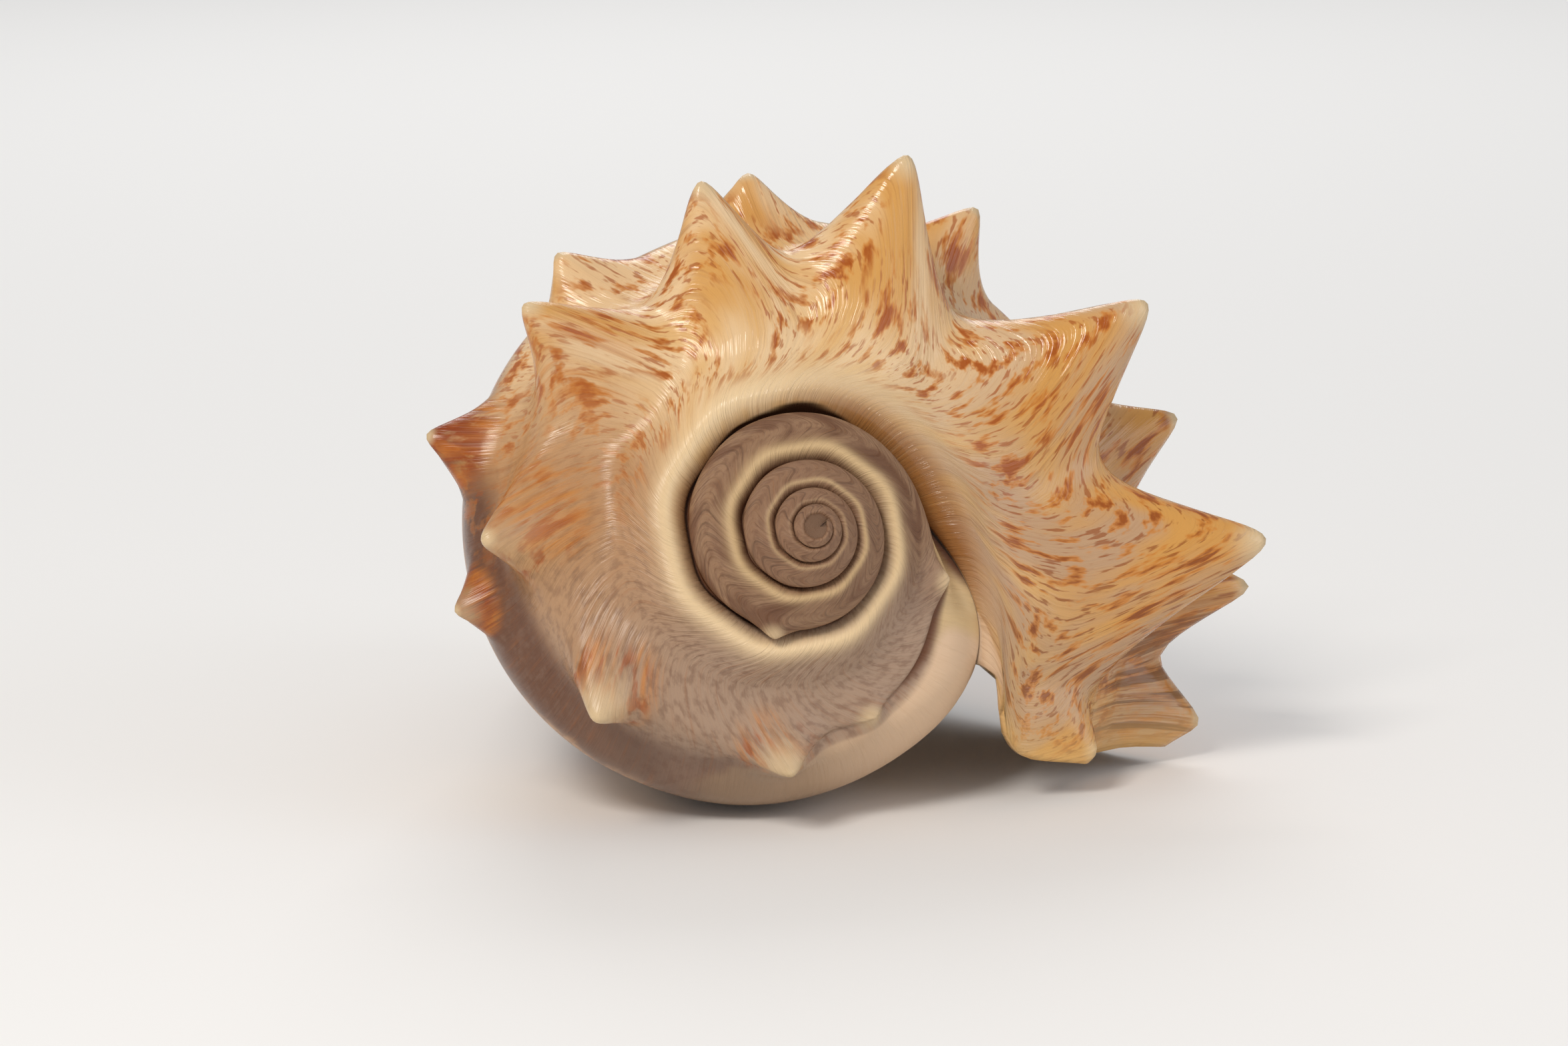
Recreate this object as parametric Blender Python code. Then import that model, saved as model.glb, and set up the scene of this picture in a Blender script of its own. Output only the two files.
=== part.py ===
"""A crown conch shell as one closed solid, lying on its open side.

The wall follows a coil: every line that runs along a whorl is the same line one turn
further back, smaller by GROWTH. Ages count turns back from the lip, so 0 is the lip and
1 is the body one whole turn behind it. Lengths in the tables are millimetres, angles are
degrees, and depths run from the tip of the spire down the coil's axis.
"""
import math
from dataclasses import dataclass

import bpy
import numpy as np

MM = 0.001
GROWTH = 1.72             # size of a whorl over the one a turn older
TURNS = 5.2               # whole coil, from the lip back to the tip of the spire
CAVITY_TURNS = 0.62       # how far the hollow is modelled, back from the lip
ROWS_PER_TURN = 180
LIP_WALL = 1.4            # wall at the edge of the lip
DEEP_WALL = 3.0           # wall inside
WALL_RUN = 0.04           # turns over which the wall thickens
FLARE_RUN = 0.055         # turns over which the lip flares
APEX = (0.0, 0.0, -0.2)   # the rounded tip of the spire
TRIANGLES = 9400
COLOUR = (0.72, 0.42, 0.22, 1.0)
ROUGHNESS = 0.35
GROUND_WEAR = 0.35        # the lowest points are worn to one level by this much
PITCH = math.radians(-16.1)      # the axis against the ground, spire end up
ROLL = math.radians(-3.6)        # turn about the axis until the lip touches the ground

# Steps are (start, run), in turns unless said otherwise. Swells are (middle, width, share).
SWELLS = ((0.60, 0.13, 0.014), (0.83, 0.10, -0.016), (0.97, 0.04, 0.020), (0.38, 0.05, -0.030))
KEEL_RISE = (0.38, 0.14)         # where the shoulder starts to stand out as a keel
KEEL_FALL = (0.93, 0.22)
KEEL_OUT = 6.0
KEEL_SIDE = 2.0                  # how far it takes the side out with it
COVERED = (0.98, 0.15)           # where the next whorl covers the side
COVERED_IN = 9.7                 # the side draws in there
COVERED_DROP = 5.0
CALLUS_RISE = (0.74, 0.14)       # the side rises where the callus lies on it
CALLUS_LIFT = 4.0
OLD_ANGLE_RUN = 0.9              # turns over which a line changes to its older angle
SLOW_SHARE = 0.6                 # how much of a line's slower shrinking shows in its radius

SEAM_SAG = 0.85                  # the seam lies this far down the side, just behind the lip
SEAM_RUN = 0.06
CORNER = 0.016                   # how far the whorls' corners stand out, as a share of the radius
CORNER_COUNT = 8.0
CORNER_ANGLE = 207.0
RIM_CORNERS = (0.25, 0.15)
FLANK_SHARE = (0.3, 0.3, 0.55)   # from the seam to the rim, the flank is this far out, and up
SIDE_CORNERS = (1.25, 0.15)

CANAL_STOPS = (0.0, 0.25, 0.5, 0.75, 1.0)      # ages of the three rows below
RIDGE_RADII = (17.6, 16.6, 15.4, 13.6, 11.2)   # the ridge round the canal
END_RADII = (14.2, 13.0, 11.4, 9.8, 8.4)       # the shell's front end
END_DEPTHS = (103.0, 105.0, 105.0, 105.0, 105.0)
RIDGE_DEPTH = 98.0
RIDGE_SHORTER = 14.0             # the ridge lies this much less deep a turn back
RIDGE_ANGLE = -34.0
END_ANGLE = -38.0
END_TWIST = -24.0
CANAL_END = (10.0, 8.0, 103.0)   # radius, angle, depth of the end of the canal

INNER_TURN = (0.4, 0.2)          # deep inside, the two lines under the ramp are turned on
INNER_TURN_BY = (9.0, 3.5)       # by this many degrees
INNER_END = (12.6, 102.4, 1.15)  # radius and depth of the canal's inner edge, and how it shrinks
CANAL_RUN = 0.12                 # beyond this age the inside of the canal is a plain slope
CANAL_SLOPE = ((10, 0.48), (11, 0.78), (12, 0.92))
ROOF_RUN = 0.02                  # beyond this age the roof of the hollow is a plain arch
ROOF_SLOPE = ((1, 0.18), (2, 0.42), (3, 0.7))
ROOF_ARCH = 3.0

CALLUS = 0.7                     # glaze laid on the body beside the opening
CALLUS_START = (0.74, 0.10)
CALLUS_FADE = (1.05, 0.1)
CALLUS_EDGE = 5.25               # place of the glaze's upper edge
CALLUS_LOWER = 1.2               # the edge starts this much further down
CALLUS_CLIMB = (0.76, 0.08)
CALLUS_SOFT = 0.35               # width of its slope, in places
CALLUS_STOP = (9.2, 1.2)         # places where it ends towards the canal
GROOVE_PLACE = -0.12             # the groove along its edge
GROOVE_WIDTH = 0.16
LIP_CALLUS = (0.05, 0.1)         # the seam stands on the glaze, back to here
TONGUE_STEP = 0.5                # the smooth tongue in the notch lies this far below the rim
TONGUE_TURNS = 0.034             # how far the tongue runs back from the lip
TONGUE_PLACE = 2.5               # and how far across the rim
TONGUE_SOFT = 0.15
TONGUE_FOOT = 0.7                # it starts from nothing at the seam, over this many places

SPINE_BLUNT = 0.15               # rounding of a tip, as a share of half the foot
SPINE_POWER = 1.85               # how hollow its sides are
SPINE_MERGE = 3.0                # how closely the largest of two spines is kept where they meet
SPINE_TURNS = 0.16               # a spine reaches no further than this
SPINE_PLACES = 2.6
LIP_SPINE_RUN = 0.03             # the inside follows the lip's spines over this many turns


@dataclass(frozen=True)
class Line:
    """One line along the whorl, at the size it would have at the lip."""

    name: str
    radius: float
    depth: float
    widen: float      # further out on the last whorl, growing to the lip
    flare: float      # further out just at the lip
    drop: float       # deeper just at the lip
    angle: float      # where it ends at the lip
    old_angle: float  # the same, on older whorls
    slow: float = 0.0   # how much less it shrinks over the first turn back


LINES = (
    Line("rim", 20.6, 16.2, 0.0, 9.8, 4.4, -31.0, -35.0),
    Line("foot of the rim", 24.2, 19.2, 2.0, 8.6, 2.6, -39.5, -39.0),
    Line("ramp", 27.2, 22.7, 5.5, 4.6, 1.0, -40.5, -40.0),
    Line("shoulder", 29.4, 25.6, 11.2, 0.4, 0.0, -35.5, -34.0),
    Line("side", 38.0, 32.5, 5.4, 3.0, 0.0, -31.5, -32.0),
    Line("second row", 45.6, 38.5, 1.7, 5.6, 0.0, -24.5, -30.0),
    Line("base", 43.2, 52.0, 1.7, 3.4, 0.0, -27.0, -31.0, 0.12),
    Line("waist", 33.5, 69.0, 1.0, 2.6, 0.0, -15.5, -30.0, 0.38),
    Line("neck", 20.0, 87.0, 3.0, 0.6, 0.0, -18.5, -34.0, 0.55),
)
# Places of some lines in the full set of 14, which starts at the seam.
SHOULDER = 5
SIDE = 6
SECOND = 7
WAIST = 9
RIDGE = 11
END = 12
LAST = 13


@dataclass(frozen=True)
class Spine:
    """A pointed spine, by where its tip stands."""

    line: int         # the line it grows from
    angle: float
    reach: float      # radius of the tip
    rise: float       # the tip above its line, towards the spire
    lean: float       # the tip swept back from the middle of its foot
    half: float       # half of the foot, along the whorl


# Half the foot up the whorl and down it, as shares of half the foot along it.
FOOT_SHARES = {SHOULDER: (0.95, 0.62), SECOND: (0.62, 0.72)}
SPINES = (
    Spine(SHOULDER, -32.6, 45.6, 1.5, 0.6, 9.0),
    Spine(SHOULDER, 0.0, 57.9, 7.0, 4.8, 15.0),
    Spine(SHOULDER, 32.3, 52.0, 6.5, 4.0, 13.4),
    Spine(SHOULDER, 71.2, 47.2, 6.0, 1.8, 12.0),
    Spine(SHOULDER, 103.1, 42.3, 5.5, 2.0, 10.5),
    Spine(SHOULDER, 138.8, 40.6, 5.5, 3.2, 9.5),
    Spine(SHOULDER, 180.4, 36.0, 5.0, 3.0, 8.5),
    Spine(SHOULDER, 221.5, 31.3, 4.0, 2.0, 7.5),
    Spine(SHOULDER, 268.5, 27.6, 3.0, 1.6, 6.5),
    Spine(SHOULDER, 294.6, 23.2, 1.5, 0.8, 4.0),
    Spine(SHOULDER, 345.3, 19.4, 1.2, 0.8, 3.6),
    Spine(SHOULDER, 614.0, 12.4, 0.5, 0.3, 3.0),
    Spine(SECOND, -19.9, 58.8, 0.8, 0.0, 9.0),
    Spine(SECOND, -3.6, 61.6, 1.6, 2.0, 9.5),
    Spine(SECOND, 17.3, 55.2, 1.6, 1.6, 9.0),
    Spine(SECOND, 55.9, 49.6, 1.6, -1.0, 8.0),
    Spine(SECOND, 90.6, 44.6, 1.6, 0.5, 8.0),
    Spine(SECOND, 124.4, 42.0, 1.5, 1.6, 7.0),
    Spine(SECOND, 161.7, 41.8, 1.0, 1.0, 7.0),
    Spine(SECOND, 191.2, 37.6, 0.8, 0.6, 5.5),
)


def smooth(x):
    """0 below 0, 1 above 1, with a soft slope between."""
    x = np.clip(x, 0.0, 1.0)
    return x * x * (3.0 - 2.0 * x)


def step(value, start_and_run):
    start, run = start_and_run
    return smooth((value - start) / run)


def point(radius, angle, depth):
    turn = np.radians(angle)
    return np.stack([radius * np.cos(turn), radius * np.sin(turn), -depth + 0.0 * turn], axis=-1)


def suture_place(age):
    """Where the next whorl is fixed to this one: lower down just behind the lip."""
    return SIDE + SEAM_SAG * np.exp(-np.maximum(age, 0.0) / SEAM_RUN)


def corners(angle, share):
    """The coil seen from the spire is a little eight-sided, by the knobs of older whorls."""
    return 1.0 + CORNER * share * np.cos(np.radians(CORNER_COUNT * (angle - CORNER_ANGLE)))


def lower_lines(age):
    """The lines from the rim to the end of the canal at each age, as (ages, 12, 3)."""
    size = GROWTH ** (-age)
    young = np.clip(1.0 - age, 0.0, 1.0)
    lip = np.exp(-age / FLARE_RUN)
    covered = step(age, COVERED)
    fuller = 1.0 + sum(share * np.exp(-(((age - middle) / width) ** 2)) for middle, width, share in SWELLS)
    callus = step(age, CALLUS_RISE)
    keel = step(age, KEEL_RISE) * (1.0 - step(age, KEEL_FALL))
    found = []
    for line in LINES:
        slow = GROWTH ** ((1.0 - young) * line.slow)
        radius = (line.radius + line.widen * young) * size * slow**SLOW_SHARE + line.flare * lip
        depth = line.depth * size * slow + line.drop * lip
        if line.name == "shoulder":
            radius = radius + KEEL_OUT * keel * size
        if line.name in ("side", "second row", "base"):
            radius = radius * fuller
        if line.name == "side":
            radius = radius + size * (KEEL_SIDE * keel - COVERED_IN * covered)
            depth = depth + size * (COVERED_DROP * covered - CALLUS_LIFT * callus)
        angle = line.angle + (line.old_angle - line.angle) * smooth(age / OLD_ANGLE_RUN) + 360.0 * age
        if line.name in ("rim", "foot of the rim"):
            radius = radius * corners(angle, step(age, RIM_CORNERS))
        if line.name in ("side", "second row"):
            radius = radius * corners(angle, step(age, SIDE_CORNERS))
        found.append(point(radius, angle, depth))
    past = np.maximum(age - 1.0, 0.0)
    inside = GROWTH ** (-past)
    ridge = np.interp(age, CANAL_STOPS, RIDGE_RADII) * inside
    ridge_depth = (RIDGE_DEPTH - RIDGE_SHORTER * (1.0 - young)) * inside
    found.append(point(ridge, RIDGE_ANGLE + 360.0 * age, ridge_depth))
    end = np.interp(age, CANAL_STOPS, END_RADII) * inside
    end_depth = np.interp(age, CANAL_STOPS, END_DEPTHS) * inside
    found.append(point(end, END_ANGLE + 360.0 * age + END_TWIST * (1.0 - young), end_depth))
    radius, angle, depth = CANAL_END
    found.append(point(radius * inside, angle + 360.0 * past, depth * inside))
    return np.stack(found, axis=1)


def along(lines, place):
    """Points on smooth curves through (rows, lines, 3), at places (rows, columns)."""
    step = np.diff(lines, axis=1)
    length = np.maximum(np.linalg.norm(step, axis=2), 1e-6)[:, :, None]
    slope = step / length
    tangent = np.empty_like(lines)
    before, after = length[:, :-1], length[:, 1:]
    tangent[:, 1:-1] = (slope[:, :-1] * after + slope[:, 1:] * before) / (before + after)
    tangent[:, 0] = slope[:, 0]
    tangent[:, -1] = slope[:, -1]
    first = np.clip(np.floor(place).astype(int), 0, lines.shape[1] - 2)
    t = (place - first)[:, :, None]
    row = np.arange(len(lines))[:, None]
    chord = length[row, first]
    curve = (2 * t**3 - 3 * t**2 + 1) * lines[row, first]
    curve += (t**3 - 2 * t**2 + t) * chord * tangent[row, first]
    curve += (3 * t**2 - 2 * t**3) * lines[row, first + 1]
    curve += (t**3 - t**2) * chord * tangent[row, first + 1]
    return curve


def outer_lines(age):
    """All 14 lines, the first being the seam with the whorl a turn older."""
    lower = lower_lines(age)
    seam = along(lower_lines(age + 1.0), suture_place(age)[:, None] - 2.0)[:, 0]
    lift = CALLUS * (1.0 - step(age, LIP_CALLUS))
    seam[:, :2] *= (1.0 + lift / np.hypot(seam[:, 0], seam[:, 1]))[:, None]
    flank = seam + (lower[:, 0] - seam) * np.array(FLANK_SHARE)
    return np.concatenate([seam[:, None], flank[:, None], lower], axis=1)


def outer(age, place):
    """The outside of the wall, without spines."""
    return along(outer_lines(age), place)


def wall(age):
    thick = LIP_WALL + (DEEP_WALL - LIP_WALL) * (1.0 - np.exp(-age / WALL_RUN))
    return thick * GROWTH ** (-age)


def inner_lines(age, corner):
    """The inside of the wall, from its corner on the older whorl to the canal."""
    out = outer_lines(age)
    radius = np.hypot(out[:, :, 0], out[:, :, 1])
    angle = np.arctan2(out[:, :, 1], out[:, :, 0])
    angle[:, SHOULDER - 1 : SIDE] += step(age, INNER_TURN)[:, None] * np.radians(INNER_TURN_BY)
    depth = -out[:, :, 2]
    run = np.gradient(radius, axis=1)
    fall = np.gradient(depth, axis=1)
    norm = np.maximum(np.hypot(run, fall), 1e-6)
    thick = wall(age)[:, None]
    new_radius = radius - thick * fall / norm
    new_depth = depth + thick * run / norm
    size = GROWTH ** (-age)
    new_radius[:, RIDGE] = np.interp(age, CANAL_STOPS, RIDGE_RADII) - thick[:, 0]
    new_depth[:, RIDGE] = RIDGE_DEPTH * size
    end_radius, end_depth, end_power = INNER_END
    new_radius[:, END] = end_radius * size**end_power
    new_depth[:, END] = end_depth * size
    inner = np.stack([new_radius * np.cos(angle), new_radius * np.sin(angle), -new_depth], axis=2)
    tip_radius, tip_angle, tip_depth = CANAL_END
    inner[:, LAST] = point(tip_radius * size, tip_angle + 360.0 * age, tip_depth * size)
    inner[:, 0] = corner
    lip = np.exp(-age / CANAL_RUN)[:, None]
    for k, share in CANAL_SLOPE:
        straight = inner[:, WAIST] + share * (inner[:, LAST] - inner[:, WAIST])
        inner[:, k] = lip * inner[:, k] + (1.0 - lip) * straight
    lip = np.exp(-age / ROOF_RUN)[:, None]
    for k, share in ROOF_SLOPE:
        straight = corner + share * (inner[:, SHOULDER - 1] - corner)
        straight[:, 2] += ROOF_ARCH * size * share * (1.0 - share)
        inner[:, k] = lip * inner[:, k] + (1.0 - lip) * straight
    return inner


def spine_feet():
    """Each spine's foot, its way to the tip, and the directions its foot is measured in."""
    found = []
    for spine in SPINES:
        angle = spine.angle - math.degrees(spine.lean / spine.reach)
        line = float(spine.line)
        age = max((angle + 30.0) / 360.0, 0.0)
        for _ in range(8):
            foot = outer(np.array([age]), np.array([[line]]))[0, 0]
            now = math.degrees(math.atan2(foot[1], foot[0]))
            off = (angle - now + 180.0) % 360.0 - 180.0
            age = max(age + off / 360.0, 0.0)
        foot = outer(np.array([age]), np.array([[line]]))[0, 0]
        ahead = outer(np.array([age + 0.002]), np.array([[line]]))[0, 0] - foot
        down = outer(np.array([age]), np.array([[line + 0.15]]))[0, 0]
        down = down - outer(np.array([age]), np.array([[line - 0.15]]))[0, 0]
        ahead /= np.linalg.norm(ahead)
        down -= ahead * np.dot(down, ahead)
        down /= np.linalg.norm(down)
        turn = math.radians(spine.angle)
        tip = np.array([spine.reach * math.cos(turn), spine.reach * math.sin(turn), foot[2] + spine.rise])
        found.append((spine, age, foot, tip - foot, ahead, down))
    return found


def raised(points, age, place, share=None):
    """The points with the spines pulled out of them."""
    top = np.zeros(points.shape)
    total = np.zeros(points.shape[:2])
    for spine, spine_age, foot, way, ahead, down in spine_feet():
        near = (np.abs(age - spine_age) < SPINE_TURNS) & (np.abs(place - spine.line) < SPINE_PLACES)
        if not near.any():
            continue
        off = points[near] - foot
        x = off @ ahead / spine.half
        y = off @ down
        above, below = FOOT_SHARES[spine.line]
        y = np.where(y < 0.0, y / above, y / below) / spine.half
        away = np.sqrt(x * x + y * y + SPINE_BLUNT**2) - SPINE_BLUNT
        pull = np.clip(1.0 - away, 0.0, 1.0) ** SPINE_POWER
        weight = pull**SPINE_MERGE
        top[near] += weight[:, None] * way
        total[near] += weight
    moved = top / np.maximum(total, 1e-9)[:, :, None] ** (1.0 - 1.0 / SPINE_MERGE)
    if share is not None:
        moved = moved * share[:, :, None]
    return points + moved


def glazed(points, age, place):
    """The points with the glaze on the body, its groove, and the smooth tongue in the notch."""
    start = step(age, CALLUS_START)
    edge = place - CALLUS_EDGE - CALLUS_LOWER * (1.0 - step(age, CALLUS_CLIMB))
    lift = start * smooth(edge / CALLUS_SOFT) * (1.0 - step(place, CALLUS_STOP))
    groove = start * np.exp(-(((edge - GROOVE_PLACE) / GROOVE_WIDTH) ** 2))
    amount = CALLUS * (lift - groove) * (1.0 - step(age, CALLUS_FADE))
    flat = points[:, :, :2]
    out = flat / np.maximum(np.linalg.norm(flat, axis=2), 1e-6)[:, :, None]
    moved = points.copy()
    moved[:, :, :2] += amount[:, :, None] * out
    arch = np.hypot(age / TONGUE_TURNS, place / TONGUE_PLACE)
    tongue = smooth((1.0 - arch) / TONGUE_SOFT) * smooth(place / TONGUE_FOOT)
    moved[:, :, 2] -= TONGUE_STEP * tongue
    return moved


# Places of the columns, above the seam with the next whorl and below it.
TOP_PLACES = (0, 0.35, 0.7, 1, 1.3, 1.55, 1.8, 2, 2.2, 2.45, 2.7, 3, 3.25, 3.5, 3.75, 4, 4.2, 4.4,
              4.55, 4.7, 4.8, 4.9, 5, 5.1, 5.2, 5.35, 5.55, 5.75, 6)
LOW_PLACES = (6.35, 6.5, 6.65, 6.8, 6.9, 7, 7.1, 7.2, 7.35, 7.5, 7.7, 8, 8.3, 8.6, 9, 9.4, 9.8,
              10.2, 10.6, 11, 11.3, 11.6, 11.85, 12, 12.2, 12.4, 12.6, 12.8, 13)
FREE_ABOVE = 5.2          # columns above this place aren't moved to fit the seam
HIDDEN_LOWER = (1.0, 0.4)        # under the next whorl the first low column moves down
HIDDEN_LOWER_BY = 0.35


def places_at(age):
    """The place of every column at each age: the seam column follows the seam."""
    seam = SIDE + SEAM_SAG * np.exp(-np.abs(age - 1.0) / SEAM_RUN)
    top = np.array(TOP_PLACES, float)[None, :]
    share = (top - FREE_ABOVE) / (SIDE - FREE_ABOVE)
    top = np.where(top > FREE_ABOVE, FREE_ABOVE + share * (seam[:, None] - FREE_ABOVE), top)
    hidden = SIDE + SEAM_SAG + HIDDEN_LOWER_BY * step(age, HIDDEN_LOWER)
    corner = LOW_PLACES[0] - SIDE + np.where(age > 1.0, hidden, seam)[:, None]
    low = np.array(LOW_PLACES, float)[None, :]
    low = corner + (low - LOW_PLACES[0]) / (LAST - LOW_PLACES[0]) * (LAST - corner)
    return np.concatenate([top, low], axis=1)


def surface(age):
    """Outside points of whole rows at each age, with spines and glaze."""
    place = places_at(age)
    points = outer(age, place)
    ages = np.repeat(age[:, None], place.shape[1], axis=1)
    return glazed(raised(points, ages, place), ages, place)


class Net:
    """Points and faces of the shell as they are added."""

    def __init__(self):
        self.points = []
        self.faces = []

    def add(self, grid):
        """Adds a grid of points and gives back their numbers."""
        start = len(self.points)
        self.points.extend(grid.reshape(-1, 3).tolist())
        return start + np.arange(grid.shape[0] * grid.shape[1]).reshape(grid.shape[:2])

    def strip(self, ids, flip=False):
        """Four-sided faces over a grid of numbers."""
        for i in range(ids.shape[0] - 1):
            for j in range(ids.shape[1] - 1):
                face = [ids[i, j], ids[i + 1, j], ids[i + 1, j + 1], ids[i, j + 1]]
                self.face(face[::-1] if flip else face)

    def face(self, corners):
        """Adds a face with its repeated corners left out."""
        kept = [int(c) for k, c in enumerate(corners) if c != corners[k - 1]]
        if len(kept) > 2 and len(set(kept)) == len(kept):
            self.faces.append(kept)

    def bridge(self, one, two):
        """Triangles between two runs of points that share both ends."""
        spots = np.array(self.points)
        reach = []
        for run in (one, two):
            length = np.linalg.norm(np.diff(spots[run], axis=0), axis=1)
            reach.append(np.concatenate([[0.0], np.cumsum(length) / length.sum()]))
        i = j = 0
        while i < len(one) - 1 or j < len(two) - 1:
            ahead = j == len(two) - 1 or (i < len(one) - 1 and reach[0][i + 1] <= reach[1][j + 1])
            if ahead:
                self.face([one[i], one[i + 1], two[j]])
                i += 1
            else:
                self.face([one[i], two[j + 1], two[j]])
                j += 1


def build_net(rows=ROWS_PER_TURN):
    """The closed surface: whorls, body, inside of the opening and the lip's edge."""
    net = Net()
    seam = len(TOP_PLACES) - 1
    whole = round(TURNS * rows)
    deep = round(CAVITY_TURNS * rows)
    age = np.arange(whole + 1) / rows
    grid = surface(age)
    columns = grid.shape[1]
    ids = np.full((whole + 1, columns), -1, int)
    ids[:, 1 : seam + 1] = net.add(grid[:, 1 : seam + 1])
    ids[: whole - rows + 1, 0] = ids[rows:, seam]
    pole = net.add(np.array([[APEX]]))[0, 0]
    ids[whole - rows + 1 :, 0] = pole
    body = rows + deep
    ids[: body + 1, seam + 1 : columns - 1] = net.add(grid[: body + 1, seam + 1 : columns - 1])
    tip = net.add(grid[rows : body + 1, columns - 1 :])[:, 0]
    ids[:rows, -1] = tip[0]
    ids[rows : body + 1, -1] = tip
    net.strip(ids[:, : seam + 1])
    net.strip(ids[: rows + 1, seam:])
    net.strip(ids[rows : body + 1, seam + 1 :])
    net.face([pole, *ids[whole, 1 : seam + 1][::-1]])
    inner_age = age[: deep + 1]
    corner = grid[rows : body + 1, seam + 1]
    place = np.repeat(places_at(np.array([0.0])), deep + 1, axis=0)
    place = (place - place[:, :1]) * LAST / (LAST - place[:, :1])
    inside = along(inner_lines(inner_age, corner), place)
    ages = np.repeat(inner_age[:, None], columns, axis=1)
    inside = raised(inside, ages, place, np.exp(-ages / LIP_SPINE_RUN))
    inner = np.full((deep + 1, columns), -1, int)
    inner[:, 1:-1] = net.add(inside[:, 1:-1])
    inner[:, 0] = ids[rows : body + 1, seam + 1]
    inner[:, -1] = tip
    net.strip(inner, flip=True)
    net.strip(np.stack([inner[0], ids[0]]))
    net.bridge(inner[deep], ids[body, seam + 1 :])
    return net


def pose(points):
    """Turns the coil's own frame into the resting one, and stands it on the ground."""
    x, y, z = points.T
    turned = np.stack([x * math.cos(ROLL) - y * math.sin(ROLL),
                       -z,
                       x * math.sin(ROLL) + y * math.cos(ROLL)], axis=1)
    c, s = math.cos(PITCH), math.sin(PITCH)
    posed = np.stack([turned[:, 0],
                      c * turned[:, 1] - s * turned[:, 2],
                      s * turned[:, 1] + c * turned[:, 2]], axis=1)
    low, high = posed.min(axis=0), posed.max(axis=0)
    middle = (low + high) / 2.0
    return posed - np.array([middle[0], middle[1], low[2]])


def thinned(mesh, group):
    """The mesh brought down to the number of triangles a solid can hold."""
    helper = bpy.data.objects.new("helper", mesh)
    group.objects.link(helper)
    mesh.calc_loop_triangles()
    thin = helper.modifiers.new("thin", "DECIMATE")
    thin.ratio = TRIANGLES / len(mesh.loop_triangles)
    bpy.context.view_layer.update()
    graph = bpy.context.evaluated_depsgraph_get()
    result = bpy.data.meshes.new_from_object(helper.evaluated_get(graph))
    bpy.data.objects.remove(helper)
    return result


def make_object(group):
    """The shell as a mesh object, with its lowest points level with the ground."""
    net = build_net()
    points = pose(np.array(net.points)) * MM
    fine = bpy.data.meshes.new("fine shell")
    fine.from_pydata(points.tolist(), [], [face[::-1] for face in net.faces])
    mesh = thinned(fine, group)
    mesh.name = "shell"
    for vertex in mesh.vertices:
        vertex.co.z = max(vertex.co.z - GROUND_WEAR * MM, 0.0)
    mesh.polygons.foreach_set("use_smooth", [True] * len(mesh.polygons))
    return bpy.data.objects.new("shell", mesh)


def shell_material():
    material = bpy.data.materials.new("shell")
    material.use_nodes = True
    finish = material.node_tree.nodes["Principled BSDF"]
    finish.inputs["Base Color"].default_value = COLOUR
    finish.inputs["Roughness"].default_value = ROUGHNESS
    return material


def main():
    for old in list(bpy.data.objects):
        bpy.data.objects.remove(old)
    group = bpy.data.collections.new("crown_conch_shell")
    bpy.context.scene.collection.children.link(group)
    shell = make_object(group)
    shell.data.materials.append(shell_material())
    group.objects.link(shell)


main()
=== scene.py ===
"""Looks of a crown conch shell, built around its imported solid.

The shell is one piece. Its wall follows a coil: every line along a whorl is the same line
one turn further back, smaller by the growth factor. Age counts turns back from the lip.
Place says how far across the whorl a point lies: 0 is the seam with the older whorl, 2 the
rim, 5 the shoulder, 7 the second row of spines, 11 the ridge round the canal, and 13 the end
of the canal. The shell's own sizes are in millimetres, and angles are in degrees.
"""
import logging
import math
from dataclasses import dataclass, field
from enum import Enum

import bpy
import numpy as np
from mathutils import Matrix, Vector


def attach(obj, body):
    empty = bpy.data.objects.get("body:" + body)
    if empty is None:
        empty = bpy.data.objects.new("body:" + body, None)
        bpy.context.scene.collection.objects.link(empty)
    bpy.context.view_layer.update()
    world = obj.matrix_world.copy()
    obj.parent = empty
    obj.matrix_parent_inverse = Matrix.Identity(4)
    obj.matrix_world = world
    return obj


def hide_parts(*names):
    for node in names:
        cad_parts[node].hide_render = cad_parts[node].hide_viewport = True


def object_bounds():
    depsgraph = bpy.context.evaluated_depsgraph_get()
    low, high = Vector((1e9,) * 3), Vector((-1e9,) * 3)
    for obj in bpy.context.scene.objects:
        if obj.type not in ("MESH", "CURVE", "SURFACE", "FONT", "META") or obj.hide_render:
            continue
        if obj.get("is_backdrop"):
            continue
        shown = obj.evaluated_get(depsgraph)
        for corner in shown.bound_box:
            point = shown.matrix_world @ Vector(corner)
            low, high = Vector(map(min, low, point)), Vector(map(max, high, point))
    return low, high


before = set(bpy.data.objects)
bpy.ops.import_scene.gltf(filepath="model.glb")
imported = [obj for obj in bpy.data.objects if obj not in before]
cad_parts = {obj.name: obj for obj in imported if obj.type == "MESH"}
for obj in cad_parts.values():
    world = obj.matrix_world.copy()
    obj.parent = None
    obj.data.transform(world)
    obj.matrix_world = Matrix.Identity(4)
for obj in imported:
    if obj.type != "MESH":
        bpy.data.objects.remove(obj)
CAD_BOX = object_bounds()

LOG = logging.getLogger("crown_conch")
MM = 0.001
PHOTO_WIDTH = 2350
GRAIN = "grain_mm"
LYING = 90.0
NOISE_ROUGHNESS = 0.55

# Limits that keep a division or a comparison safe.
SMALL = 1e-6
TINY = 1e-9
ON_SEAM = 0.01

Pair = tuple[float, float]
Triple = tuple[float, float, float]
Colour = tuple[float, float, float, float]
Change = tuple[float, float, float, float]
Stops = tuple[float, ...]
Array = np.ndarray
Socket = bpy.types.NodeSocket


class Row(Enum):
    """The two rows of spines, by the line that each grows from."""

    SHOULDER = 5
    SECOND = 7


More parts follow.
